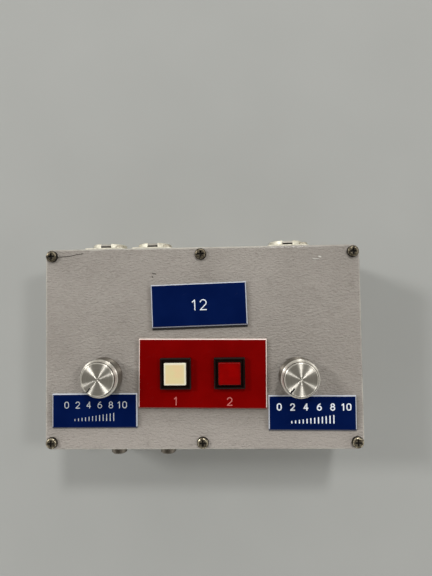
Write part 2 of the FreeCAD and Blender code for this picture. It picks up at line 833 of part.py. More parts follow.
def switch_base(name):
    """Contact block that closes the barrel from below."""
    body = new_body(f"{name}_switch_base",
                    at=(BUTTONS[name], BUTTON_Y, PLATE_TOP - size.barrel_length))
    block = Drawing(body, "block")
    block.circle(size.barrel_diameter)
    pad(block, size.switch_base_height, down=True)


def switch_fasteners():
    """Hexagon nut under the lid on each barrel, and the flat solder pins of both contact blocks."""
    nuts = new_body("switch_nuts", at=(0, 0, RIM))
    hexagons = Drawing(nuts, "hexagons")
    terminals = new_body("switch_terminals",
                         at=(0, 0, PLATE_TOP - size.barrel_length - size.switch_base_height))
    pins = Drawing(terminals, "pins")
    for x in BUTTONS.values():
        hexagons.hexagon(size.switch_nut, x, BUTTON_Y)
        hexagons.circle(size.barrel_diameter + 2 * size.thread_gap, x, BUTTON_Y)
        for column in (-1, 1):
            for row in (-1, 1):
                pins.rectangle(size.pin_width, size.pin_thickness, x + column * size.pin_pitch / 2,
                               BUTTON_Y + row * size.pin_pitch / 2)
    pad(hexagons, size.switch_nut_height, down=True)
    pad(pins, size.pin_length, down=True)


# --- XLR receptacles ------------------------------------------------------------------------------

def contact_places(x=0):
    """Three contacts of a receptacle: two above, one below."""
    circle = size.contact_circle / 2
    return [(x + circle * math.cos(math.radians(turn)), circle * math.sin(math.radians(turn)))
            for turn in CONTACT_ANGLES]


def xlr_housing(side):
    """Die-cast flange and collar, with the slot and the pin hole of the latch."""
    body = new_body(f"{side}_xlr_housing", **rear_frame(XLRS[side]))
    flange = Drawing(body, "flange")
    flange.rectangle(size.xlr_flange_width, size.xlr_flange_height)
    plate = pad(flange, size.xlr_flange_thickness)
    plate = fillet(plate, upright, size.xlr_flange_corner)
    chamfer(plate, level_at(size.xlr_flange_thickness), size.xlr_flange_chamfer)
    collar = Drawing(body, "collar")
    collar.circle(size.xlr_bore + 2 * size.collar_wall)
    ring = pad(collar, size.collar_height)
    chamfer(ring, level_at(size.collar_height), size.xlr_flange_chamfer)
    barrel = Drawing(body, "barrel")
    barrel.circle(XLR_BARREL)
    pad(barrel, size.xlr_barrel_depth, down=True)
    front = {"at": (0, 0, size.collar_height)}
    bore = Drawing(body, "bore", **front)
    bore.circle(size.xlr_bore)
    pocket(bore, size.collar_height + size.xlr_barrel_depth)
    slot = Drawing(body, "latch_slot", **front)
    slot.rectangle(size.latch_slot_width, size.latch_slot_reach + size.latch_slot_overlap, 0,
                   XLR_BORE + (size.latch_slot_reach - size.latch_slot_overlap) / 2)
    pocket(slot, size.collar_height + size.latch_slot_depth)
    screws = Drawing(body, "screw_holes", at=(0, 0, size.xlr_flange_thickness))
    for x, y in xlr_screw_places():
        screws.circle(size.xlr_screw_diameter + 2 * size.screw_hole_gap, x, y)
    pocket(screws, size.xlr_flange_thickness)
    pin_hole = Drawing(body, "latch_pin_hole", "YZ_Plane", at=(0, 0, -size.latch_pin_length / 2))
    pin_hole.circle(size.latch_pin_diameter + 2 * size.thread_gap, XLR_BORE + size.latch_pin_offset,
                    size.xlr_flange_thickness / 2)
    pocket(pin_hole, size.latch_pin_length, up=True)


def xlr_insert(side):
    """Moulded insulator: a plug on a base disc, bored for three contacts."""
    body = new_body(f"{side}_xlr_insert", **rear_frame(XLRS[side]))
    plug, disc = size.insert_diameter / 2, XLR_BORE - size.insert_gap
    top, foot = size.collar_height - size.insert_setback, -size.xlr_barrel_depth
    turned(body, [(0, foot), (disc, foot), (disc, foot + size.insert_base),
                  (plug, foot + size.insert_base), (plug, top), (0, top)])
    holes = Drawing(body, "contact_holes", at=(0, 0, top))
    for x, y in contact_places():
        holes.circle(size.contact_diameter + 2 * size.contact_gap, x, y)
    pocket(holes, top - foot)


def xlr_contacts():
    """Nine tubular contacts, each with a solder cup behind its insert."""
    top = size.collar_height - size.insert_setback - size.contact_setback
    body = new_body("xlr_contacts", **rear_frame(0))
    tubes = Drawing(body, "tubes", at=(0, 0, top))
    cups = Drawing(body, "cups", at=(0, 0, -size.xlr_barrel_depth))
    bores = Drawing(body, "bores", at=(0, 0, top))
    for middle in XLRS.values():
        for x, y in contact_places(-middle):
            tubes.circle(size.contact_diameter, x, y)
            cups.circle(size.cup_diameter, x, y)
            bores.circle(size.contact_diameter - 2 * size.contact_wall, x, y)
    pad(tubes, top + size.xlr_barrel_depth, down=True)
    pad(cups, size.cup_length, down=True)
    pocket(bores, top + size.xlr_barrel_depth / 2)


def xlr_latch(side):
    """Rocker of the latch: a thumb tab outside, an eye on the pin, and an arm with a hook inside."""
    body = new_body(f"{side}_xlr_latch", **rear_frame(XLRS[side]))
    width = size.latch_slot_width - 2 * size.latch_side_gap
    face = {"plane": "YZ_Plane", "at": (0, 0, -width / 2)}
    pin_y, pin_z = XLR_BORE + size.latch_pin_offset, size.xlr_flange_thickness / 2
    eye = size.latch_eye / 2
    tab_low = pin_y - size.latch_tab_thickness / 2
    arm_high = pin_y - size.latch_arm_drop
    arm_low = arm_high - size.latch_arm_thickness
    arm_end = pin_z - size.latch_arm_reach
    hook_tip = XLR_BORE - size.latch_hook_reach
    lever = Drawing(body, "lever", **face)
    lever.outline([
        (tab_low, size.latch_tab_reach), (tab_low, pin_z), (arm_low, pin_z - eye),
        (arm_low, arm_end + size.latch_hook_width), (hook_tip, arm_end + size.latch_hook_width),
        (hook_tip, arm_end + size.latch_hook_width / 2), (arm_low, arm_end),
        (arm_high, arm_end), (arm_high, pin_z), (tab_low + size.latch_tab_thickness, pin_z),
        (tab_low + size.latch_tab_thickness, size.latch_tab_reach)])
    pad(lever, width)
    boss = Drawing(body, "eye", **face)
    boss.circle(size.latch_eye, pin_y, pin_z)
    pad(boss, width)
    hole = Drawing(body, "pin_hole", **face)
    hole.circle(size.latch_pin_diameter + 2 * size.latch_pin_gap, pin_y, pin_z)
    pocket(hole, width, up=True)


def xlr_latch_pins():
    body = new_body("xlr_latch_pins", **rear_frame(0))
    for middle in XLRS.values():
        pin = Drawing(body, "pin", "YZ_Plane", at=(0, 0, -middle - size.latch_pin_length / 2))
        pin.circle(size.latch_pin_diameter, XLR_BORE + size.latch_pin_offset,
                   size.xlr_flange_thickness / 2)
        pad(pin, size.latch_pin_length)


def xlr_fasteners():
    """Machine screws through the flanges, and their nuts inside the rear wall."""
    screws = new_body("xlr_screws", **rear_frame(0))
    nuts = new_body("xlr_nuts", **rear_frame(0))
    flange = {"at": (0, 0, size.xlr_flange_thickness)}
    shanks, heads = Drawing(screws, "shanks", **flange), Drawing(screws, "heads", **flange)
    hexagons = Drawing(nuts, "hexagons", at=(0, 0, -size.wall))
    for middle in XLRS.values():
        for x, y in xlr_screw_places(-middle):
            shanks.circle(size.xlr_screw_diameter, x, y)
            heads.circle(size.xlr_screw_head, x, y)
            hexagons.hexagon(size.xlr_nut, x, y)
            hexagons.circle(size.xlr_screw_diameter + 2 * size.thread_gap, x, y)
    pad(shanks, size.xlr_screw_length, down=True)
    rounds = pad(heads, size.xlr_screw_head_height)
    head_top = size.xlr_flange_thickness + size.xlr_screw_head_height
    fillet(rounds, level_at(head_top), size.xlr_screw_head_round)
    pad(hexagons, size.xlr_nut_height, down=True)


# --- headphone jacks ------------------------------------------------------------------------------

def jack_frame(side):
    """Bent frame behind the front wall, with the threaded bushing that passes through the wall."""
    body = new_body(f"{side}_jack_frame", **front_frame(JACKS[side]))
    inside = {"at": (0, 0, -size.wall)}
    plate = Drawing(body, "plate", **inside)
    plate.rectangle(size.jack_plate_width, size.jack_plate_height)
    pad(plate, size.jack_sheet, down=True)
    leg = Drawing(body, "leg", **inside)
    leg.rectangle(size.jack_leg_width, size.jack_sheet, 0, size.jack_leg_rise + size.jack_sheet / 2)
    pad(leg, size.jack_leg_length, down=True)
    bushing = Drawing(body, "bushing", **inside)
    bushing.circle(size.jack_bushing_diameter)
    neck = pad(bushing, size.wall + size.jack_bushing_reach)
    chamfer(neck, level_at(size.jack_bushing_reach), size.washer_thickness)
    bore = Drawing(body, "bore", at=(0, 0, size.jack_bushing_reach))
    bore.circle(size.jack_bore)
    pocket(bore, size.jack_bushing_reach + size.wall + size.jack_sheet)


def stack_tops():
    """Heights at which the wafers and the leaves of a contact stack begin, from the leg down."""
    step = size.wafer_thickness + size.leaf_thickness
    wafers = [size.jack_leg_rise - step * turn for turn in range(3)]
    leaves = [top - size.wafer_thickness for top in wafers[:2]]
    return wafers, leaves


STACK_FRONT = -(size.wall + size.jack_sheet + size.stack_start)


def jack_springs(side):
    """Contact leaves for the tip and the ring of a plug, bent towards it at their ends."""
    body = new_body(f"{side}_jack_springs", **front_frame(JACKS[side]))
    for top, reach in zip(stack_tops()[1], (size.tip_leaf_reach, size.ring_leaf_reach)):
        bend = STACK_FRONT - size.stack_length - reach
        low = top - size.leaf_thickness
        touch = size.leaf_touch
        drawing = Drawing(body, "leaf", "YZ_Plane", at=(0, 0, -size.leaf_width / 2))
        drawing.outline([
            (low, STACK_FRONT), (top, STACK_FRONT), (top, bend + size.leaf_bend),
            (touch + size.leaf_thickness, bend), (top, bend - size.leaf_bend),
            (low, bend - size.leaf_bend), (touch, bend), (low, bend + size.leaf_bend)])
        pad(drawing, size.leaf_width)


def jack_insulators():
    """Phenolic wafers between the leaves of both jacks."""
    body = new_body("jack_insulators", **front_frame(0))
    for middle in JACKS.values():
        for top in stack_tops()[0]:
            wafer = Drawing(body, "wafer", at=(0, 0, STACK_FRONT))
            wafer.rectangle(size.wafer_width, size.wafer_thickness, -middle, top - size.wafer_thickness / 2)
            pad(wafer, size.stack_length, down=True)


def jack_fasteners():
    """Washer and hexagon nut on each bushing, outside the front wall."""
    washers = new_body("jack_washers", **front_frame(0))
    nuts = new_body("jack_nuts", **front_frame(0))
    rings = Drawing(washers, "rings")
    hexagons = Drawing(nuts, "hexagons", at=(0, 0, size.washer_thickness))
    for x in JACKS.values():
        rings.circle(size.control_washer, -x)
        hexagons.hexagon(size.control_nut, -x)
        for drawing in (rings, hexagons):
            drawing.circle(size.jack_bushing_diameter + 2 * size.thread_gap, -x)
    pad(rings, size.washer_thickness)
    pad(hexagons, size.control_nut_height)


# --- the whole box --------------------------------------------------------------------------------

def build():
    enclosure_shell()
    lid()
    lid_screws("rear_lid_screws", 1)
    lid_screws("front_lid_screws", -1)
    rubber_feet()
    title_plate()
    button_plate()
    for side in KNOBS:
        for piece in (scale_plate, knob, knob_screw, pot_shaft, pot_bushing, pot_track, pot_cover):
            piece(side)
    pot_terminals()
    pot_fasteners()
    for name in BUTTONS:
        for piece in (bezel, plunger, lens, switch_base):
            piece(name)
    switch_fasteners()
    for side in XLRS:
        for piece in (xlr_housing, xlr_insert, xlr_latch):
            piece(side)
    xlr_contacts()
    xlr_latch_pins()
    xlr_fasteners()
    for side in JACKS:
        for piece in (jack_frame, jack_springs):
            piece(side)
    jack_insulators()
    jack_fasteners()


def export():
    """Check every object of the document, then write each sub-part to its own STEP file."""
    DOCUMENT.recompute()
    failed = [thing.Label for thing in DOCUMENT.Objects if {"Invalid", "Error"} & set(thing.State)]
    bodies = DOCUMENT.findObjects("PartDesign::Body")
    failed += [body.Label for body in bodies if body.Shape.isNull() or not body.Shape.isValid()]
    if failed:
        raise RuntimeError(f"failed: {', '.join(failed)}")
    os.makedirs(PARTS_FOLDER, exist_ok=True)
    for body in bodies:
        body.Shape.exportStep(f"{PARTS_FOLDER}/{body.Label}.step")


build()
export()
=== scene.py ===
"""Looks of the desk control box: finishes for its parts, its marks, its turned knobs, the studio.

Everything is in metres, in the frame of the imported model: +X to the user's right, +Y towards the
rear wall with the sockets, and +Z up out of the lid.
"""
import math
from typing import NamedTuple

import bmesh
import bpy
import numpy as np
from mathutils import Matrix, Vector


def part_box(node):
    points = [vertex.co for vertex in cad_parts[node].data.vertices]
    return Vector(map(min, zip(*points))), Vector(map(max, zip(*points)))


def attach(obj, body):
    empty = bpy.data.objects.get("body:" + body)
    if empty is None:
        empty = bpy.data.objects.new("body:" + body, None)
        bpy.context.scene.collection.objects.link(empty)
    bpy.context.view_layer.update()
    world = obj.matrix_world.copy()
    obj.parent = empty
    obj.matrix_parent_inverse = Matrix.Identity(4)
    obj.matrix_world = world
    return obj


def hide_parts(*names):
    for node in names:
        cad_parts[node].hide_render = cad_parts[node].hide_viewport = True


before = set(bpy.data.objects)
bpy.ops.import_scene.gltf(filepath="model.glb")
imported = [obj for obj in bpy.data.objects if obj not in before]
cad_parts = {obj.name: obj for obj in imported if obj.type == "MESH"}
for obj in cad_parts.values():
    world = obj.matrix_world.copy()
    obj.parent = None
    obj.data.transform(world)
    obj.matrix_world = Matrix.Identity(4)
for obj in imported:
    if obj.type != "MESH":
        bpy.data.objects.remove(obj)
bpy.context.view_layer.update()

MM = 0.001


# --- heights and places read from the frame -----------------------------------------------------

def middle_of(node):
    """Middle of a node's box."""
    low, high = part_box(node)
    return (low + high) / 2


LID_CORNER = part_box("lid")[1]
LID_TOP = LID_CORNER.z
PLATE_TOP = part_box("title_plate")[1].z
LID_THICKNESS = 3.0 * MM
KNOB_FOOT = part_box("left_knob")[0].z
KNOBS = {side: middle_of(f"{side}_knob") for side in ("left", "right")}
SOCKETS = ("left", "middle", "right")


# --- glued plates -------------------------------------------------------------------------------

class Seat(NamedTuple):
    """How a plate sits on the lid.

    Its turn in degrees, the width and strength of the painted shadow line along its front edge,
    and
    1 if the painted shade beside it goes round to its front, or else 0.
    """
    turn: float
    line_width: float
    line_strength: float
    shade_in_front: int


PLATES = {
    "title_plate": Seat(1.5, 1.7 * MM, 1.0, 1),
    "button_plate": Seat(-0.7, 0.7 * MM, 0.35, 1),
    "left_scale_plate": Seat(0.0, 0.6 * MM, 0.35, 0),
    "right_scale_plate": Seat(-0.4, 0.8 * MM, 0.5, 0),
}


def plate_reach(plate):
    """Half the width and half the depth of a plate along its own sides.

    A box round a turned plate has half sides W = w cos + d sin and D = w sin + d cos.
    """
    low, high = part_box(plate)
    wide, deep = ((high - low) / 2).xy
    turn = math.radians(abs(PLATES[plate].turn))
    cos, sin, spread = math.cos(turn), math.sin(turn), math.cos(2 * turn)
    return (wide * cos - deep * sin) / spread, (deep * cos - wide * sin) / spread


# --- colours and shader maths -------------------------------------------------------------------

def colour(red, green, blue):
    """Scene-linear RGBA of an sRGB colour given in steps of 255."""
    steps = np.array([red, green, blue]) / 255
    linear = np.where(steps <= 0.04045, steps / 12.92, ((steps + 0.055) / 1.055) ** 2.4)
    return (*linear.tolist(), 1.0)


# Places of the two colour inputs of a Mix node, and of three vector inputs of a Map Range node.
MIX_FIRST, MIX_SECOND = 6, 7
RANGE_FROM_MAX, RANGE_TO_MIN, RANGE_TO_MAX = 8, 9, 10


class Wire:
    """A node's output that arithmetic can be done on; each operator adds one Math node."""

    def __init__(self, wiring, socket):
        self.wiring = wiring
        self.socket = socket

    def maths(self, operation, *others):
        """Math node of an operation on this wire and others."""
        values = dict(enumerate((self, *others)))
        return self.wiring.node("ShaderNodeMath", {"operation": operation}, values)["Value"]

    def __add__(self, other):
        return self.maths("ADD", other)

    __radd__ = __add__

    def __sub__(self, other):
        return self.maths("SUBTRACT", other)

    def __rsub__(self, other):
        return (self * -1).maths("ADD", other)

    def __mul__(self, other):
        return self.maths("MULTIPLY", other)

    __rmul__ = __mul__

    def __abs__(self):
        return self.maths("ABSOLUTE")


def distance(x, y):
    """Wire of the distance of (x, y) from the origin, the square root of x x + y y."""
    return (x * x + y * y).maths("SQRT")


class Wiring:
    """The nodes of a material or a world, which starts with none."""

    def __init__(self, owner):
        owner.use_nodes = True
        self.tree = owner.node_tree
        self.tree.nodes.clear()

    def node(self, kind, settings=None, values=None):
        """Add a node: settings first, then its sockets' values or links. Returns its outputs."""
        node = self.tree.nodes.new(kind)
        for word, setting in (settings or {}).items():
            setattr(node, word, setting)
        for key, value in (values or {}).items():
            socket = node.inputs[key]
            if isinstance(value, Wire):
                self.tree.links.new(value.socket, socket)
            else:
                socket.default_value = value
        return {socket.identifier: Wire(self, socket) for socket in node.outputs}


class Finish(Wiring):
    """A material made of nodes, with one Principled shader."""

    def __init__(self, name):
        self.material = bpy.data.materials.new(name)
        super().__init__(self.material)
        self.coordinates = self.node("ShaderNodeTexCoord")["Object"]

    def at(self, place=(0, 0, 0), turn=0.0, stretch=(1, 1, 1)):
        """Object coordinates from a place, turned about Z in degrees and stretched."""
        moved = self.node("ShaderNodeMapping", {"vector_type": "TEXTURE"}, {
            "Vector": self.coordinates, "Location": tuple(place),
            "Rotation": (0, 0, math.radians(turn)), "Scale": stretch})
        return moved["Vector"]

    def parts(self, vector=None):
        """X, Y and Z of a vector, as three wires."""
        split = self.node("ShaderNodeSeparateXYZ", None, {"Vector": vector or self.coordinates})
        return split["X"], split["Y"], split["Z"]

    def noise(self, size, detail=2.0, rough=0.5, vector=None):
        """Noise about 0.5 whose lumps are about size metres across."""
        return self.node("ShaderNodeTexNoise", None, {
            "Vector": vector or self.coordinates, "Scale": 1 / size, "Detail": detail,
            "Roughness": rough})["Fac"]

    def step(self, value, low, high):
        """Smooth step: 0 below low, 1 above high; the other way round if low is the larger."""
        return self.node("ShaderNodeMapRange", {"interpolation_type": "SMOOTHSTEP"}, {
            "Value": value, "From Min": low, "From Max": high})["Result"]

    def mix(self, share, first, second):
        """Colour between first, where share is 0, and second, where it is 1."""
        return self.node("ShaderNodeMix", {"data_type": "RGBA"}, {
            "Factor": share, MIX_FIRST: first, MIX_SECOND: second})["Result_Color"]

    def stroke(self, start, end, width, ragged):
        """Mask in XY: 1 within width of the line from start to end, with a ragged edge."""
        length = math.hypot(end[0] - start[0], end[1] - start[1])
        turn = math.degrees(math.atan2(end[1] - start[1], end[0] - start[0]))
        x, y, _ = self.parts(self.at((*start, 0), turn))
        beyond = abs(x - length / 2) - length / 2
        reach = distance(beyond.maths("MAXIMUM", 0), y)
        reach = reach + (self.noise(0.6 * MM, 3, 0.7) - 0.5) * (2 * ragged)
        return self.step(reach, width, width * 0.6)

    def bump(self, height, depth, strength=1.0):
        """Bump of a height that runs from 0 to 1 over a depth in metres."""
        return self.node("ShaderNodeBump", None, {
            "Height": height, "Distance": depth, "Strength": strength})["Normal"]

    def shade(self, base, rough, metal=0.0, normal=None, **plain):
        """Join up the Principled shader; plain holds the values that are the same all over."""
        values = {"Base Color": base, "Roughness": rough, "Metallic": metal}
        values.update({word.replace("_", " "): value for word, value in plain.items()})
        if normal is not None:
            values["Normal"] = normal
        shader = self.node("ShaderNodeBsdfPrincipled", None, values)["BSDF"]
        self.node("ShaderNodeOutputMaterial", None, {"Surface": shader})
        return self.material


# --- finishes -----------------------------------------------------------------------------------

def on_a_plate(finish, plate):
    """X and Y along a plate's own sides from its middle, and Z over the desk."""
    middle = middle_of(plate)
    return finish.parts(finish.at((middle.x, middle.y, 0), PLATES[plate].turn))


# Painted shade beside the glued plates: how far it reaches, where it is full, and how far it keeps
# from the ends that it doesn't go round.
PLATE_SHADE_REACH, PLATE_SHADE_FULL, PLATE_SHADE_CLEAR = 3.8 * MM, 0.8 * MM, 3.0 * MM


def plate_shade_masks(paint):
    """Masks of painted shade beside the glued plates and of painted shadow along their fronts."""
    soft, lines = 0.0, 0.0
    for plate, seat in PLATES.items():
        wide, deep = plate_reach(plate)
        x, y, _ = on_a_plate(paint, plate)
        beside = abs(x) - wide
        forward = seat.shade_in_front * PLATE_SHADE_CLEAR / 2
        before = abs(y + forward) - (deep - PLATE_SHADE_CLEAR + forward)
        beyond = before.maths("MAXIMUM", beside)
        soft = paint.step(beyond, PLATE_SHADE_REACH, PLATE_SHADE_FULL).maths("MAXIMUM", soft)
        along = paint.step(beside, 0.3 * MM, -0.3 * MM)
        line_mask = along * paint.step(abs(y + deep), seat.line_width, seat.line_width * 0.75)
        lines = line_mask * seat.line_strength + lines
    return soft, lines


def band_before_buttons(paint):
    """Mask of a soft darker band in front of the button plate."""
    wide, deep = plate_reach("button_plate")
    x, y, _ = on_a_plate(paint, "button_plate")
    return (paint.step(abs(x), wide + 4 * MM, wide - 3 * MM)
            * paint.step(abs(y + deep), 12 * MM, 1 * MM))


# Knocks in the lid's paint, in mm: start, end, half width and raggedness of each stroke. The
# scuffs are dark, and the nicks go down to bare metal.
SCUFFS = [((-86.1, 55.0), (-79.4, 55.5), 0.34, 0.5), ((-79.4, 55.5), (-71.0, 57.0), 0.28, 0.55),
          ((-28.9, 44.4), (-27.0, 43.9), 0.36, 0.3), ((-29.0, 42.4), (-28.9, 42.0), 0.4, 0.3)]
NICKS = [((70.0, 52.9), (71.0, 52.6), 0.5, 0.25), ((66.5, 51.7), (69.9, 51.4), 0.26, 0.3),
         ((66.4, 50.6), (68.2, 50.7), 0.2, 0.25)]


def knocks(paint, strokes):
    """Mask of a list of strokes."""
    return sum(paint.stroke((start[0] * MM, start[1] * MM), (end[0] * MM, end[1] * MM),
                            width * MM, ragged * MM) for start, end, width, ragged in strokes)


def enclosure_paint():
    """Warm grey baked enamel: fine pebble, a little grime, a few knocks, painted light and shade.

    The pebble is drawn out along X.
    """
    paint = Finish("enclosure_paint")
    pebble = paint.noise(0.98 * MM, 2, 0.55, paint.at(stretch=(2, 1, 1)))
    grain = paint.noise(0.45 * MM, 2, 0.6)
    clouds = paint.noise(38 * MM, 4, 0.55)
    x, y, z = paint.parts()
    on_top = paint.step(z, LID_TOP - 1.2 * MM, LID_TOP - 0.7 * MM)

    # The enamel, with painted light: paler at the front and a painted highlight on the lid's edge.
    tone = paint.mix(paint.step(clouds, 0.36, 0.64), colour(154, 147, 139), colour(163, 156, 148))
    tone = paint.mix(paint.step(pebble, 0.35, 0.7) * 0.26, tone, colour(178, 172, 163))
    painted_front_light = paint.step(y, -37 * MM, -54 * MM) * on_top * 0.55
    tone = paint.mix(painted_front_light, tone, colour(180, 172, 164))
    # Painted highlight along the lid's edge.
    inward = (LID_CORNER.x - abs(x)).maths("MINIMUM", LID_CORNER.y - abs(y))
    painted_edge_highlight = (paint.step(inward, 1.3 * MM, 0.5 * MM)
            * paint.step(z, LID_TOP - 2.4 * MM, LID_TOP - 1.4 * MM))
    tone = paint.mix(painted_edge_highlight * paint.step(clouds, 0.3, 0.55) * 0.6, tone, colour(204, 200, 186))

    # Dirt in faint patches and the dark seam under the lid, painted shade round the plates, and a
    # darker band in front of the buttons.
    grime = paint.step(paint.noise(9 * MM, 4, 0.65), 0.56, 0.74) * 0.22
    seam = paint.step(abs(z - LID_TOP + LID_THICKNESS), 0.45 * MM, 0.12 * MM)
    tone = paint.mix((grime + seam * 0.75).maths("MINIMUM", 1), tone, colour(92, 85, 76))
    soft, lines = plate_shade_masks(paint)
    tone = paint.mix(soft * on_top * 0.34, tone, colour(84, 76, 66))
    tone = paint.mix(band_before_buttons(paint) * on_top * 0.2, tone, colour(84, 76, 66))
    tone = paint.mix(lines * on_top, tone, colour(24, 22, 21))

    scuffs, nicks = knocks(paint, SCUFFS), knocks(paint, NICKS)
    tone = paint.mix((scuffs * on_top * 0.85).maths("MINIMUM", 1), tone, colour(70, 64, 56))
    tone = paint.mix((nicks * on_top * 0.9).maths("MINIMUM", 1), tone, colour(226, 222, 214))
    relief = pebble * 0.8 + grain * 0.2 - (scuffs + nicks) * on_top * 0.3
    rough = 0.44 + pebble * 0.12 + grime * 0.3
    return paint.shade(tone, rough, normal=paint.bump(relief, 1.2 * MM), Specular_IOR_Level=0.3,
                       Coat_Weight=0.5, Coat_Roughness=0.16)


CAP_THICKNESS = 0.34 * MM


def laminate(plate, cap, cap_worn, core, core_dusty, core_shaded_front):
    """Engraving laminate: a coloured cap on a pale core that shows low on the bevels."""
    sheet = Finish(f"{plate}_laminate")
    _, y, z = on_a_plate(sheet, plate)
    bevel = sheet.step(z, PLATE_TOP - CAP_THICKNESS, PLATE_TOP - CAP_THICKNESS - 0.08 * MM)
    clouds = sheet.noise(14 * MM, 3, 0.5)
    scratches = sheet.noise(0.5 * MM, 4, 0.65, sheet.at(turn=24, stretch=(14, 1, 1)))
    hairlines = sheet.step(scratches, 0.66, 0.8)
    tone = sheet.mix(sheet.step(clouds, 0.35, 0.7) * 0.6, cap, cap_worn)
    tone = sheet.mix(hairlines * 0.10, tone, colour(170, 170, 176))
    dust = sheet.step(sheet.noise(3 * MM, 4, 0.7), 0.5, 0.8)
    pale = sheet.mix(dust * 0.5, core, core_dusty)
    # Painted shade: the core on the front bevel takes the darker front colour.
    front = sheet.step(y + plate_reach(plate)[1], 1.1 * MM, 0.8 * MM)
    pale = sheet.mix(front, pale, core_shaded_front)
    rough = 0.30 + clouds * 0.12 + bevel * 0.2
    relief = sheet.noise(2.5 * MM, 2, 0.5) + hairlines * -0.4
    return sheet.shade(sheet.mix(bevel, tone, pale), rough, normal=sheet.bump(relief, 0.02 * MM),
                       Specular_IOR_Level=0.06)


def engraving(name, tint, dull):
    """Bottom of an engraved stroke: the pale core, with some dirt in it."""
    core = Finish(name)
    dirt = core.step(core.noise(1.6 * MM, 3, 0.7), 0.45, 0.75)
    return core.shade(core.mix(dirt, tint, dull), 0.6,
                      normal=core.bump(core.noise(0.3 * MM), 0.02 * MM))


def pointer_fill():
    """Black paint in the pointer line of a knob."""
    fill = Finish("pointer_fill")
    grain = fill.noise(0.4 * MM, 2)
    tone = fill.mix(grain, colour(14, 13, 12), colour(30, 28, 26))
    return fill.shade(tone, 0.55, normal=fill.bump(grain, 0.02 * MM))


# Distance of a knob's groove from its axis, and heights over its foot: where the face with the
# groove starts, and where the side ends.
GROOVE_RADIUS, FACE_START, SIDE_END = 9.66 * MM, 11.6 * MM, 9.9 * MM


def turned_aluminium(name, axis):
    """Bare turned aluminium: fine rings about an upright axis, and painted shade and reflection.
    """
    metal = Finish(name)
    x, y, z = metal.parts(metal.at((axis.x, axis.y, 0)))
    radius = distance(x, y)
    # This runs outwards on the face and upwards on the side, so both get rings.
    section = metal.node("ShaderNodeCombineXYZ", None, {"X": radius + z * 0.83})["Vector"]
    rings = metal.noise(0.16 * MM, 3, 0.7, section)
    broad = metal.noise(1.1 * MM, 2, 0.6, section)
    spots = metal.step(metal.noise(1.6 * MM, 4, 0.7), 0.6, 0.78)
    tone = metal.mix(metal.step(rings, 0.3, 0.7), colour(222, 217, 204), colour(250, 246, 236))
    tone = metal.mix(metal.step(broad, 0.35, 0.65) * 0.3, tone, colour(196, 187, 168))
    # Stains, painted shade in the groove and at the foot, and a painted dark, brown reflection on
    # the side.
    groove = (metal.step(abs(radius - GROOVE_RADIUS), 0.24 * MM, 0.1 * MM)
              * metal.step(z, KNOB_FOOT + FACE_START, KNOB_FOOT + FACE_START + 0.3 * MM))
    side = metal.step(z, KNOB_FOOT + SIDE_END, KNOB_FOOT + SIDE_END - 0.7 * MM)
    low = metal.step(z, KNOB_FOOT + 1.6 * MM, KNOB_FOOT)
    dull = (spots * 0.2 + side * 0.8 + low * 0.3 + groove * 0.9).maths("MINIMUM", 1)
    tone = metal.mix(dull, tone, colour(76, 66, 54))
    rough = 0.33 + rings * 0.05 + spots * 0.06 + side * 0.14 + groove * 0.2
    return metal.shade(tone, rough, 1.0, metal.bump(rings * 0.6 + broad * 0.4, 0.012 * MM),
                       Anisotropic=1.0, Anisotropic_Rotation=0.25)


def plain_metal(name, clean, stained, rough, lump=3.0, pits=0.02):
    """Plated or bare metal with faint stains and a lightly pitted skin; sizes in mm."""
    metal = Finish(name)
    stains = metal.step(metal.noise(lump * MM, 4, 0.65), 0.515, 0.8)
    grain = metal.noise(0.35 * MM, 3, 0.6)
    tone = metal.mix(stains * 0.35 + grain * 0.1, clean, stained)
    return metal.shade(tone, rough + stains * 0.15 + grain * 0.06, 1.0,
                       metal.bump(grain, pits * MM))


# Height of a lid screw's head, half the width of a bar of its cross, and how far a bar reaches.
HEAD_HEIGHT, BAR_WIDTH, BAR_REACH = 2.3 * MM, 0.6 * MM, 2.1 * MM


def screw_metal(name, node, clean, stained, rough):
    """Metal of a row of three screw heads, with painted shade in and round each cross recess."""
    metal = Finish(name)
    low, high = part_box(node)
    pitch = (high.x - low.x - (high.y - low.y)) / 2
    middle = middle_of(node)
    x, y, z = metal.parts(metal.at((middle.x, middle.y, 0)))
    x = x.maths("WRAP", pitch / 2, -pitch / 2)
    radius = distance(x, y)
    worn = metal.step(radius, 2.8 * MM, 1.8 * MM)
    cross = (metal.step(abs(x).maths("MINIMUM", abs(y)), BAR_WIDTH + 0.25 * MM, BAR_WIDTH)
             * metal.step(radius, BAR_REACH + 0.4 * MM, BAR_REACH))
    grain = metal.noise(0.5 * MM, 3, 0.65)
    patches = metal.step(metal.noise(1.4 * MM, 3, 0.65), 0.43, 0.6)
    tone = metal.mix(patches * 0.8 + grain * 0.15, clean, stained)
    head_top = LID_TOP + HEAD_HEIGHT
    # Painted shade: a wide dark cross, the recess, the head's low part and its foot on the lid.
    deep = metal.step(z, head_top - 0.25 * MM, head_top - 0.75 * MM)
    above_lid = metal.step(z, LID_TOP + 0.2 * MM, LID_TOP + 0.8 * MM)
    dirt = (deep * 0.97).maths("MAXIMUM", worn * 0.15 + cross * 0.6) * above_lid
    dirt = dirt + (1 - above_lid) * 0.6
    tone = metal.mix(dirt.maths("MINIMUM", 1), tone, colour(20, 16, 12))
    return metal.shade(tone, rough + patches * 0.2 + dirt * 0.3, 1 - dirt * 0.5,
                       metal.bump(grain, 0.03 * MM))


# Y of the middle of the slot at the root of each latch's thumb tab, 0.9 mm out of the flange.
TAB_ROOT = 63.0 * MM


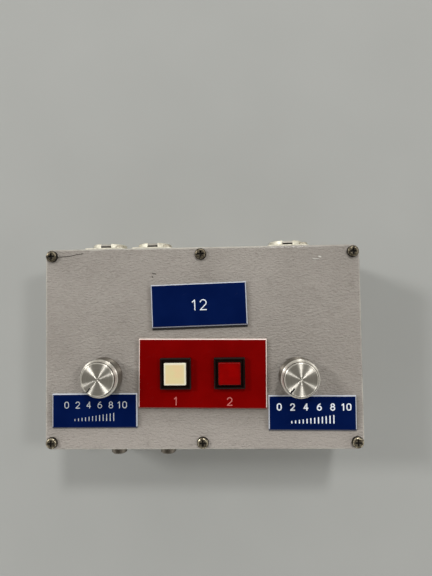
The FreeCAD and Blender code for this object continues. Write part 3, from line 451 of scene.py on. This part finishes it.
def latch_steel():
    """Plated steel of the latch rockers, with painted shadow in the slot at each thumb tab's root.
    """
    metal = Finish("latch_steel")
    _, y, _ = metal.parts()
    slot = metal.step(abs(y - TAB_ROOT), 0.5 * MM, 0.36 * MM)
    grain = metal.noise(0.35 * MM, 3, 0.6)
    stains = metal.step(metal.noise(2.2 * MM, 4, 0.65), 0.5, 0.8)
    tone = metal.mix(stains * 0.4 + grain * 0.1, colour(204, 200, 190), colour(132, 122, 106))
    # Painted shadow in the slot.
    tone = metal.mix(slot, tone, colour(22, 13, 8))
    return metal.shade(tone, 0.4 + grain * 0.1 + slot * 0.3, 1 - slot * 0.95,
                       metal.bump(grain * 0.1 - slot, 0.25 * MM, 0.6), Specular_IOR_Level=0.08)


def moulding(name, dark, light, rough):
    """Moulded plastic or rubber with a fine skin and a little dust."""
    plastic = Finish(name)
    grain = plastic.noise(0.6 * MM, 2, 0.5)
    dust = plastic.step(plastic.noise(5 * MM, 4, 0.7), 0.5, 0.8)
    tone = plastic.mix(grain * 0.4 + dust * 0.5, dark, light)
    return plastic.shade(tone, rough + dust * 0.12, normal=plastic.bump(grain, 0.02 * MM),
                         Specular_IOR_Level=0.16)


def lens_plastic(name, node, body, heart, rim):
    """Translucent lens, warmer in the middle, with painted light on its edges."""
    lens = Finish(name)
    middle = middle_of(node)
    half = (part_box(node)[1] - middle).x
    x, y, _ = lens.parts(lens.at(middle))
    inward = half - abs(x).maths("MAXIMUM", abs(y))
    edge = lens.step(inward, 1.5 * MM, 0.3 * MM)
    clouds = lens.noise(7 * MM, 1, 0.4, lens.at((middle.x, middle.y, 0)))
    wipe = lens.noise(1.2 * MM, 4, 0.7)
    tone = lens.mix(lens.step(clouds, 0.35, 0.65), body, heart)
    # Painted light on the edges: a paler highlight on the cream lens, a little darker on the red
    # one.
    tone = lens.mix(edge * 0.75, tone, rim)
    tone = lens.mix(lens.step(wipe, 0.62, 0.85) * 0.2, tone, colour(120, 104, 84))
    return lens.shade(tone, 0.22 + wipe * 0.14, normal=lens.bump(lens.noise(1.8 * MM), 0.02 * MM),
                      Specular_IOR_Level=0.12)


def sheet_laminate():
    """Brown paper-and-resin insulating board."""
    board = Finish("phenolic")
    fibres = board.noise(0.5 * MM, 4, 0.7, board.at(stretch=(6, 1, 1)))
    tone = board.mix(fibres, colour(62, 34, 18), colour(112, 68, 38))
    return board.shade(tone, 0.42 + fibres * 0.1, normal=board.bump(fibres, 0.02 * MM))


def dress(material, *nodes):
    """Give CAD nodes a finish."""
    for node in nodes:
        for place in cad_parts[node].material_slots:
            place.material = material


def both(*words):
    """Names of the left and the right node of each kind."""
    return [f"{side}_{word}" for word in words for side in KNOBS]


def of_sockets(word):
    """Names of the three sockets' nodes of a kind."""
    return [f"{side}_{word}" for side in SOCKETS]


dress(enclosure_paint(), "enclosure_shell", "lid")
dress(screw_metal("dark_screw", "rear_lid_screws", colour(138, 128, 108), colour(20, 15, 11),
                  0.32), "rear_lid_screws")
dress(screw_metal("plated_screw", "front_lid_screws", colour(184, 174, 150), colour(64, 53, 38),
                  0.3), "front_lid_screws")
dress(moulding("rubber", colour(24, 23, 22), colour(58, 56, 53), 0.78), "rubber_feet")
# The last colour given for each plate is its front bevel's, darkened as painted shade.
for plate, front in (("title_plate", colour(168, 171, 184)),
                     ("left_scale_plate", colour(92, 96, 108)),
                     ("right_scale_plate", colour(100, 104, 116))):
    dress(laminate(plate, colour(0, 18, 66), colour(2, 23, 74), colour(198, 203, 212),
                   colour(142, 149, 160), front), plate)
dress(laminate("button_plate", colour(119, 0, 0), colour(131, 0, 0), colour(250, 232, 222),
               colour(206, 166, 156), colour(140, 98, 90)), "button_plate")
ALUMINIUM = {side: turned_aluminium(f"{side}_knob_aluminium", axis)
             for side, axis in KNOBS.items()}
for side, metal in ALUMINIUM.items():
    dress(metal, f"{side}_knob")
dress(plain_metal("black_steel", colour(52, 50, 48), colour(30, 26, 24), 0.45),
      *both("knob_screw"))
dress(plain_metal("bright_steel", colour(190, 188, 184), colour(122, 112, 98), 0.26),
      *both("pot_shaft", "pot_cover"), "pot_washers", "pot_nuts", "xlr_latch_pins", "xlr_nuts")
dress(latch_steel(), *of_sockets("xlr_latch"))
dress(plain_metal("flange_screw", colour(186, 178, 160), colour(110, 98, 80), 0.42), "xlr_screws")
dress(plain_metal("brass", colour(196, 168, 104), colour(128, 96, 52), 0.3), *both("pot_bushing"))
dress(plain_metal("tinned", colour(204, 196, 176), colour(140, 122, 88), 0.28),
      "pot_terminals", "switch_terminals", "xlr_contacts", *both("jack_springs"))
dress(plain_metal("nickel", colour(230, 226, 210), colour(160, 148, 124), 0.5, 4.0, 0.03),
      *of_sockets("xlr_housing"))
# Painted shade: the jack metal is darker and duller than plain nickel, for the shade under the
# front edge.
dress(plain_metal("jack_metal", colour(122, 115, 104), colour(66, 58, 48), 0.42),
      *both("jack_frame"), "jack_nuts", "jack_washers")
dress(sheet_laminate(), *both("pot_track"), "talk_switch_base", "mute_switch_base",
      "jack_insulators")
# Painted reflection: the black plastic is tinted red-brown, as the bezels mirror the red plate.
dress(moulding("black_plastic", colour(12, 4, 2), colour(38, 20, 16), 0.34),
      "talk_bezel", "mute_bezel", "talk_plunger", "mute_plunger", "switch_nuts",
      *of_sockets("xlr_insert"))
dress(lens_plastic("cream_lens", "talk_lens", colour(226, 212, 160), colour(232, 206, 158),
                   colour(240, 238, 220)), "talk_lens")
dress(lens_plastic("red_lens", "mute_lens", colour(132, 0, 0), colour(144, 0, 0),
                   colour(120, 2, 2)), "mute_lens")


# --- engraved marks -----------------------------------------------------------------------------

def arc(centre, reach, start, end, count=22):
    """Points of an ellipse: centre + (reach_x cos t, reach_y sin t), t from start to end.

    The angles are in degrees.
    """
    turn = np.radians(np.linspace(start, end, count))
    return np.stack([centre[0] + reach[0] * np.cos(turn),
                     centre[1] + reach[1] * np.sin(turn)], -1)


def line(*points):
    """Straight runs through points."""
    return np.array(points, float)


def joined(*paths):
    """One stroke from several that follow each other."""
    return np.concatenate(paths)


# Each figure is a list of strokes in a box 0.62 wide and 1 high.
FIGURES = {
    "0": [joined(arc((0.31, 0.69), (0.31, 0.31), 0, 180),
                 arc((0.31, 0.31), (0.31, 0.31), 180, 360), line((0.62, 0.69)))],
    "1": [line((0.10, 0.80), (0.34, 1.0)), line((0.34, 1.0), (0.34, 0.0))],
    "2": [joined(arc((0.31, 0.70), (0.30, 0.30), 165, -28), line((0.0, 0.0))),
          line((0.0, 0.0), (0.62, 0.0))],
    "4": [line((0.46, 0.0), (0.46, 1.0)), line((0.46, 1.0), (0.0, 0.30)),
          line((0.0, 0.30), (0.62, 0.30))],
    "6": [joined(arc((0.62, 0.32), (0.62, 0.68), 105, 178),
                 arc((0.31, 0.31), (0.31, 0.31), 180, 540))],
    "8": [arc((0.31, 0.77), (0.25, 0.23), -90, 270, 30),
          arc((0.31, 0.27), (0.31, 0.27), 90, 450, 34)],
}
FIGURE_WIDTH = 0.62
FIGURE_GAP = 0.26


def number(word, height):
    """Strokes of a number, centred on the origin, with figures of the given height."""
    pitch = FIGURE_WIDTH + FIGURE_GAP
    start = -(pitch * len(word) - FIGURE_GAP) / 2
    return [(stroke + (start + pitch * i, -0.5)) * height
            for i, figure in enumerate(word) for stroke in FIGURES[figure]]


def ribbon(path, width, height, crown):
    """Mark with round ends along a path in the XY plane.

    Point (s, t) = P(s) + t w(s) / 2 N(s) + (height + crown (1 - t^2)) Z, where P runs along the
    path and half a width past both ends, N is square to it, t goes from -1 to 1, and w narrows at
    the ends as the edge of a circle does.
    """
    steps = np.linalg.norm(np.diff(path, axis=0), axis=1)
    along = np.concatenate([[0.0], np.cumsum(steps)])
    length, round_end = along[-1], width / 2
    turn = np.linspace(0, math.pi / 2, 6)
    count = max(2, int(length / (width * 0.5)) + 1)
    s = np.concatenate([-round_end * np.cos(turn), np.linspace(0, length, count + 1)[1:-1],
                        length + round_end * np.sin(turn)])
    inside = np.clip(s, 0, length)
    start_way = (path[1] - path[0]) / steps[0]
    end_way = (path[-1] - path[-2]) / steps[-1]
    spine = np.stack([np.interp(inside, along, path[:, i]) for i in (0, 1)], -1)
    spine += np.outer(np.minimum(s, 0), start_way) + np.outer(np.maximum(s - length, 0), end_way)
    heading = np.gradient(spine, axis=0)
    heading /= np.linalg.norm(heading, axis=1, keepdims=True)
    normal = np.stack([-heading[:, 1], heading[:, 0]], -1)
    past = np.maximum(np.maximum(-s, s - length), 0) / round_end
    half = round_end * np.sqrt(np.clip(1 - past ** 2, 0.0004, 1))
    t = np.linspace(-1, 1, 5)
    flat = spine[:, None] + (half[:, None] * t)[..., None] * normal[:, None]
    rise = height + crown * (1 - t ** 2) * (half / round_end)[:, None]
    return np.concatenate([flat, np.broadcast_to(rise[..., None], flat.shape[:2] + (1,))], -1)


def skin(name, grids, material, body):
    """Mesh of several grids of points, smooth and welded where they meet, riding on a body."""
    points, faces, first = [], [], 0
    for grid in grids:
        rows, columns = grid.shape[:2]
        index = first + np.arange(rows * columns).reshape(rows, columns)
        corners = (index[:-1, :-1], index[1:, :-1], index[1:, 1:], index[:-1, 1:])
        faces.append(np.stack([corner.ravel() for corner in corners], -1))
        points.append(grid.reshape(-1, 3))
        first += rows * columns
    mesh = bpy.data.meshes.new(name)
    mesh.from_pydata(np.concatenate(points).tolist(), [], np.concatenate(faces).tolist())
    welded = bmesh.new()
    welded.from_mesh(mesh)
    bmesh.ops.remove_doubles(welded, verts=welded.verts, dist=0.001 * MM)
    welded.to_mesh(mesh)
    welded.free()
    mesh.polygons.foreach_set("use_smooth", np.ones(len(mesh.polygons), bool))
    mesh.materials.append(material)
    mesh.update()
    piece = bpy.data.objects.new(name, mesh)
    bpy.context.scene.collection.objects.link(piece)
    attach(piece, body)
    return piece


def set_down(strokes, at, turn=0.0):
    """Strokes turned by degrees and moved to a place."""
    angle = math.radians(turn)
    spin = np.array([[math.cos(angle), math.sin(angle)], [-math.sin(angle), math.cos(angle)]])
    return [stroke @ spin + at for stroke in strokes]


# A scale's marks: the height of its numbers, how far their middles lie above the middle of the
# plate, the number of ticks, how far their feet lie below it, the height of the first tick, and
# how much taller the last one is.
SCALE = ("0", "2", "4", "6", "8", "10")
SCALE_HEIGHT, SCALE_RISE = 3.6 * MM, 3.6 * MM
TICKS, TICK_FOOT = 12, -5.6 * MM
TICK_FIRST, TICK_GROWTH = 0.9 * MM, 3.4 * MM


def scale_marks(figure_pitch, tick_pitch):
    """Row of numbers over a row of ticks that grow from left to right."""
    strokes = []
    for i, word in enumerate(SCALE):
        x = (i - (len(SCALE) - 1) / 2) * figure_pitch
        strokes += set_down(number(word, SCALE_HEIGHT), (x, SCALE_RISE))
    for i in range(TICKS):
        x = (i - (TICKS - 1) / 2) * tick_pitch
        tall = TICK_FIRST + TICK_GROWTH * i / (TICKS - 1)
        strokes.append(line((x, TICK_FOOT), (x, TICK_FOOT + tall)))
    return strokes


# How far a mark's edges lie above its plate, and its middle above its edges.
STROKE_LIFT = 0.02 * MM
CROWN = 0.03 * MM


def engrave(name, strokes, plate, width, material):
    """Strokes cut into a plate, given from the plate's middle."""
    middle = middle_of(plate)
    moved = set_down(strokes, (middle.x, middle.y), PLATES[plate].turn)
    grids = [ribbon(stroke, width, PLATE_TOP + STROKE_LIFT, CROWN) for stroke in moved]
    return skin(name, grids, material, "enclosure")


white_core = engraving("white_core", colour(240, 245, 252), colour(200, 206, 214))
dull_core = engraving("dull_core", colour(196, 200, 204), colour(144, 148, 154))
pink_core = engraving("pink_core", colour(206, 112, 106), colour(170, 72, 68))

engrave("title_number", number("12", 5.9 * MM), "title_plate", 0.56 * MM, white_core)
engrave("left_scale_marks", scale_marks(6.6 * MM, 2.1 * MM), "left_scale_plate", 0.46 * MM,
        dull_core)
engrave("right_scale_marks", scale_marks(7.7 * MM, 2.2 * MM), "right_scale_plate", 0.7 * MM,
        white_core)
BUTTON_NUMBER_HEIGHT, BUTTON_NUMBER_RISE = 4.4 * MM, -16.0 * MM
for word, lens in (("1", "talk_lens"), ("2", "mute_lens")):
    across = middle_of(lens).x - middle_of("button_plate").x
    strokes = set_down(number(word, BUTTON_NUMBER_HEIGHT), (across, BUTTON_NUMBER_RISE))
    engrave(f"{lens}_number", strokes, "button_plate", 0.58 * MM, pink_core)


# --- recesses of the socket screws --------------------------------------------------------------

# The rear wall leans in by its draft. A socket's screws are given from the socket's middle:
# across, up and out of the wall.
WALL_LEAN = math.radians(1.5)
WALL_AT_SOCKETS = 59.095 * MM
SOCKET_MIDDLE = 31.5 * MM
SCREW_ACROSS, SCREW_UP, SCREW_TOP = 9.5 * MM, 12.0 * MM, 4.1 * MM
RECESS_ARM, RECESS_WIDTH = 1.1 * MM, 0.62 * MM
RECESS_TURNS = {"left": (18, 64), "middle": (40, 7), "right": (75, 31)}


def on_rear_wall(grid, x):
    """Points given as across, up and out of the rear wall from the middle of the socket at x.

    Point = (x - across, wall + up sin a + out cos a, middle + up cos a - out sin a), where a is
    the wall's lean.
    """
    across, up, out = np.moveaxis(grid, -1, 0)
    lean_sin, lean_cos = math.sin(WALL_LEAN), math.cos(WALL_LEAN)
    return np.stack([x - across, WALL_AT_SOCKETS + up * lean_sin + out * lean_cos,
                     SOCKET_MIDDLE + up * lean_cos - out * lean_sin], -1)


def recess_grids():
    """A cross on the flat of each screw head that holds a socket."""
    cross = [line((-RECESS_ARM, 0), (RECESS_ARM, 0)), line((0, -RECESS_ARM), (0, RECESS_ARM))]
    grids = []
    for socket, turns in RECESS_TURNS.items():
        x = middle_of(f"{socket}_xlr_housing").x
        for way, turn in zip((-1, 1), turns):
            strokes = set_down(cross, (way * SCREW_ACROSS, -way * SCREW_UP), turn)
            for i, stroke in enumerate(strokes, 1):
                bar = ribbon(stroke, RECESS_WIDTH, SCREW_TOP + STROKE_LIFT * i, 0.0)
                grids.append(on_rear_wall(bar, x))
    return grids


def recess_dirt_and_shade():
    """Black dirt and shade down in a screw's cross."""
    dirt = Finish("recess_dirt_and_shade")
    grain = dirt.noise(0.3 * MM, 2)
    return dirt.shade(dirt.mix(grain, colour(16, 14, 12), colour(40, 35, 28)), 0.7,
                      normal=dirt.bump(grain, 0.03 * MM), Specular_IOR_Level=0.1)


# The crosses are dark sheets on flat heads: painted shade of a recess, with dirt.
skin("xlr_screw_recesses", recess_grids(), recess_dirt_and_shade(), "enclosure")


# --- knobs --------------------------------------------------------------------------------------

# Corners of half a knob's section, from the foot round to the middle of the face: distance from
# the axis, height over the foot, and the round on the corner, in mm.
KNOB_SECTION = [
    (7.4, 0.0, 0), (11.1, 0.0, 0.3), (10.9, 9.75, 0.08), (10.48, 10.2, 0.12),
    (9.82, 12.2, 0.12), (9.58, 12.1, 0.05), (9.5, 12.85, 0.1), (9.05, 13.3, 0.12),
    (8.88, 13.3, 0.04), (8.75, 13.14, 0.06), (0.5, 13.14, 0.1), (0.0, 12.98, 0)]
KNOB_COLUMNS = 144
SIDE_RADIUS = 11.0 * MM
HOLE_RADIUS = 1.5 * MM
HOLE_RIM = 0.15 * MM
HOLE_DEPTH = 3.2 * MM
# The patch round a set-screw hole: half its columns and rows of the side's grid, the rings from
# the hole out to its edge, and the power that draws them in towards the hole.
PATCH_COLUMNS, PATCH_ROWS = 5, 5
PATCH_RINGS, PATCH_EASE = 7, 1.3


def rounded(corners):
    """Line through corners with an arc on each, c + (a sin((1-k) w) + b sin(k w)) / sin w.

    c is the arc's middle, a and b run from it to the arc's ends, w is the angle between them, and
    k goes from 0 to 1. A point close before and one close after each arc keep the runs' shading
    flat.
    """
    corners = np.array(corners) * MM
    line_points = [corners[0, :2]]
    for before, (x, z, radius), after in zip(corners[:-2], corners[1:-1], corners[2:]):
        corner = np.array([x, z])
        back, on = (end[:2] - corner for end in (before, after))
        back, on = back / np.linalg.norm(back), on / np.linalg.norm(on)
        half = math.acos(np.clip(back @ on, -1, 1)) / 2
        run = radius / math.tan(half)
        middle = corner + (back + on) / np.linalg.norm(back + on) * radius / math.sin(half)
        first, last, sweep = corner + back * run, corner + on * run, math.pi - 2 * half
        k = np.linspace(0, 1, 7)[:, None]
        swung = np.sin((1 - k) * sweep) * (first - middle) + np.sin(k * sweep) * (last - middle)
        line_points += [first + back * 0.04 * MM, *(middle + swung / math.sin(sweep)),
                        last + on * 0.04 * MM]
    return np.array([*line_points, corners[-1, :2]])


def revolved(section, angles):
    """Surface of revolution: point (s, t) = (r(s) cos t, r(s) sin t, z(s))."""
    radius, rise = section.T
    return np.stack([np.outer(radius, np.cos(angles)), np.outer(radius, np.sin(angles)),
                     np.broadcast_to(rise[:, None], (len(rise), len(angles)))], -1)


def knob_grids(rise):
    """Grids of a knob whose set-screw hole looks along +X at a height over the foot.

    Round the hole the side is point (s, t) = side at circle(t) + s (edge(t) - circle(t)), where
    edge(t) runs round a block of the side's own grid, and the bore goes in from the circle along
    X.
    """
    section = rounded(KNOB_SECTION)
    pitch = 2 * math.pi / KNOB_COLUMNS
    rows = rise + np.arange(-PATCH_ROWS, PATCH_ROWS + 1) * SIDE_RADIUS * pitch
    low, high = section[section[:, 1] < rows[0]][-1], section[section[:, 1] > rows[-1]][0]
    side_radius = np.interp(rows, [low[1], high[1]], [low[0], high[0]])
    side = np.stack([side_radius, rows], -1)
    foot_end = np.argmax(section[:, 1] > rows[0])
    below = np.concatenate([section[:foot_end], side[:1]])
    above = np.concatenate([side[-1:], section[foot_end:]])
    round_all = np.arange(PATCH_COLUMNS, KNOB_COLUMNS + PATCH_COLUMNS + 1) * pitch
    round_most = np.arange(PATCH_COLUMNS, KNOB_COLUMNS - PATCH_COLUMNS + 1) * pitch

    # The block's edge, as turns and heights: along its foot, up, back along its top, and down.
    across = np.arange(-PATCH_COLUMNS, PATCH_COLUMNS + 1) * pitch
    up_count = len(rows) - 2
    edge_turn = np.concatenate([across, np.full(up_count, across[-1]), across[::-1],
                                np.full(up_count, across[0]), across[:1]])
    edge_rise = np.concatenate([np.full(len(across), rows[0]), rows[1:-1],
                                np.full(len(across), rows[-1]), rows[-2:0:-1], rows[:1]])
    radius = side_radius[PATCH_ROWS]
    way = np.arctan2(edge_rise - rise, edge_turn * radius)
    s = np.linspace(0, 1, PATCH_RINGS)[:, None] ** PATCH_EASE
    wide = HOLE_RADIUS + HOLE_RIM
    turn = (1 - s) * wide * np.cos(way) / radius + s * edge_turn
    up = (1 - s) * (rise + wide * np.sin(way)) + s * edge_rise
    reach = np.interp(up, rows, side_radius)
    patch = np.stack([reach * np.cos(turn), reach * np.sin(turn), up], -1)

    # The bore: a small rim inside the circle, then straight in.
    y = HOLE_RADIUS * np.cos(way)
    lip = np.sqrt(radius ** 2 - y ** 2) - HOLE_RIM
    end = np.full_like(y, radius - HOLE_DEPTH)
    bore = np.stack([np.stack([x, y, rise + HOLE_RADIUS * np.sin(way)], -1)
                     for x in (lip, lip - 0.05 * MM, end)])
    mouth = np.concatenate([patch[:1], bore])
    return [revolved(below, round_all), revolved(side, round_most), revolved(above, round_all),
            patch[::-1], mouth[:2], mouth[1:]]


def on_knob(grids, side, turn):
    """Grids turned about a knob's axis and set at the height of its foot."""
    axis = KNOBS[side]
    cos, sin = math.cos(turn), math.sin(turn)
    spin = np.array([[cos, sin, 0], [-sin, cos, 0], [0, 0, 1]])
    return [grid @ spin + (axis.x, axis.y, KNOB_FOOT) for grid in grids]


POINTER_TURN = math.radians(-130.0)
POINTER_WIDTH, POINTER_LIFT = 0.95 * MM, 0.03 * MM
POINTER_START, POINTER_END = 6.2 * MM, 10.4 * MM


def pointer_grid():
    """Line from the face down the cone: point (s, t) = section(s) + lift N(s) + t Y."""
    section = rounded(KNOB_SECTION)
    radius, rise = section.T
    on_top = section[(rise > SIDE_END) & (radius > POINTER_START) & (radius < POINTER_END)]
    line_points = np.concatenate([on_top, [(POINTER_START, on_top[-1, 1])]])
    run = np.gradient(line_points, axis=0)
    run /= np.linalg.norm(run, axis=1, keepdims=True)
    lifted = line_points + np.stack([run[:, 1], -run[:, 0]], -1) * POINTER_LIFT
    t = np.linspace(-1, 1, 3) * POINTER_WIDTH / 2
    shape = (len(lifted), len(t))
    return np.stack([np.broadcast_to(lifted[:, :1], shape), np.broadcast_to(t, shape),
                     np.broadcast_to(lifted[:, 1:], shape)], -1)


fill = pointer_fill()
for side, axis in KNOBS.items():
    screw = middle_of(f"{side}_knob_screw")
    turn = math.atan2(screw.y - axis.y, screw.x - axis.x)
    grids = on_knob(knob_grids(screw.z - KNOB_FOOT), side, turn)
    knob = skin(f"{side}_turned_knob", grids, ALUMINIUM[side], f"{side}_knob_body")
    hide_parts(f"{side}_knob")
    skin(f"{side}_pointer", on_knob([pointer_grid()], side, POINTER_TURN), fill,
         f"{side}_knob_body")


# --- studio -------------------------------------------------------------------------------------

FLOOR_REACH = 3.0


def studio_floor():
    """Wide pale floor under the feet."""
    paper = Finish("floor_paper")
    soft = paper.noise(60 * MM, 2, 0.4)
    tone = paper.mix(soft, colour(172, 173, 169), colour(178, 179, 175))
    material = paper.shade(tone, 0.9, Specular_IOR_Level=0.2)
    mesh = bpy.data.meshes.new("floor")
    corners = [(x * FLOOR_REACH, y * FLOOR_REACH, 0)
               for x, y in ((-1, -1), (1, -1), (1, 1), (-1, 1))]
    mesh.from_pydata(corners, [], [(0, 1, 2, 3)])
    mesh.materials.append(material)
    floor = bpy.data.objects.new("floor", mesh)
    bpy.context.scene.collection.objects.link(floor)


# Azimuth from +X towards +Y and elevation in degrees, width in metres, and power in watts.
LAMPS = {"left_lamp": (155, 39.5, 0.50, 28), "rear_lamp": (76, 51.5, 0.42, 25),
         "right_lamp": (20, 54, 0.42, 16)}
LAMP_DISTANCE = 3.0


def lamp(name, azimuth, elevation, width, power):
    """Round soft lamp that faces the middle of the lid."""
    turn, rise = math.radians(azimuth), math.radians(elevation)
    level = math.cos(rise)
    way = Vector((level * math.cos(turn), level * math.sin(turn), math.sin(rise)))
    light = bpy.data.lights.new(name, "AREA")
    light.shape = "DISK"
    light.size = width
    light.energy = power
    holder = bpy.data.objects.new(name, light)
    holder.location = Vector((0, 0, LID_TOP)) + way * LAMP_DISTANCE
    holder.rotation_mode = "QUATERNION"
    holder.rotation_quaternion = way.to_track_quat("Z", "Y")
    bpy.context.scene.collection.objects.link(holder)


# The room's light at the horizon, its light overhead, which is a little warm, and the height of
# a unit direction from which on the second is full.
HORIZON = (1.7, 1.7, 1.7)
OVERHEAD = (0.075, 0.068, 0.056)
OVERHEAD_RISE = 0.75


def studio_world():
    """Grey room, paler towards the horizon than overhead."""
    world = bpy.data.worlds.new("studio")
    bpy.context.scene.world = world
    room = Wiring(world)
    direction = room.node("ShaderNodeTexCoord")["Generated"]
    height = room.node("ShaderNodeSeparateXYZ", None, {"Vector": direction})["Z"]
    tone = room.node("ShaderNodeMapRange", {"data_type": "FLOAT_VECTOR"}, {
        "Vector": height, RANGE_FROM_MAX: (OVERHEAD_RISE,) * 3, RANGE_TO_MIN: HORIZON,
        RANGE_TO_MAX: OVERHEAD})["Vector"]
    glow = room.node("ShaderNodeBackground", None, {"Color": tone})["Background"]
    room.node("ShaderNodeOutputWorld", None, {"Surface": glow})


# The camera's place, its turn as an axis times an angle in degrees, and its focal length in parts
# of the frame's longer side.
CAMERA_PLACE = (0.01829, 0.02504, 0.31641)
CAMERA_TURN = (2.2133, 2.0992, -0.8597)
SENSOR, FOCAL_LENGTH = 36.0, 433.0 / 576.0


def camera():
    """Nearly straight above the lid, a little right of and behind its middle."""
    lens = bpy.data.cameras.new("camera")
    lens.sensor_width = SENSOR
    lens.lens = SENSOR * FOCAL_LENGTH
    lens.clip_start = 0.01
    holder = bpy.data.objects.new("camera", lens)
    turn = Vector([math.radians(part) for part in CAMERA_TURN])
    holder.matrix_world = (Matrix.Translation(CAMERA_PLACE)
                           @ Matrix.Rotation(turn.length, 4, turn.normalized()))
    bpy.context.scene.collection.objects.link(holder)
    bpy.context.scene.camera = holder


studio_floor()
for name, settings in LAMPS.items():
    lamp(name, *settings)
studio_world()
camera()
bpy.context.scene.view_settings.view_transform = "Standard"
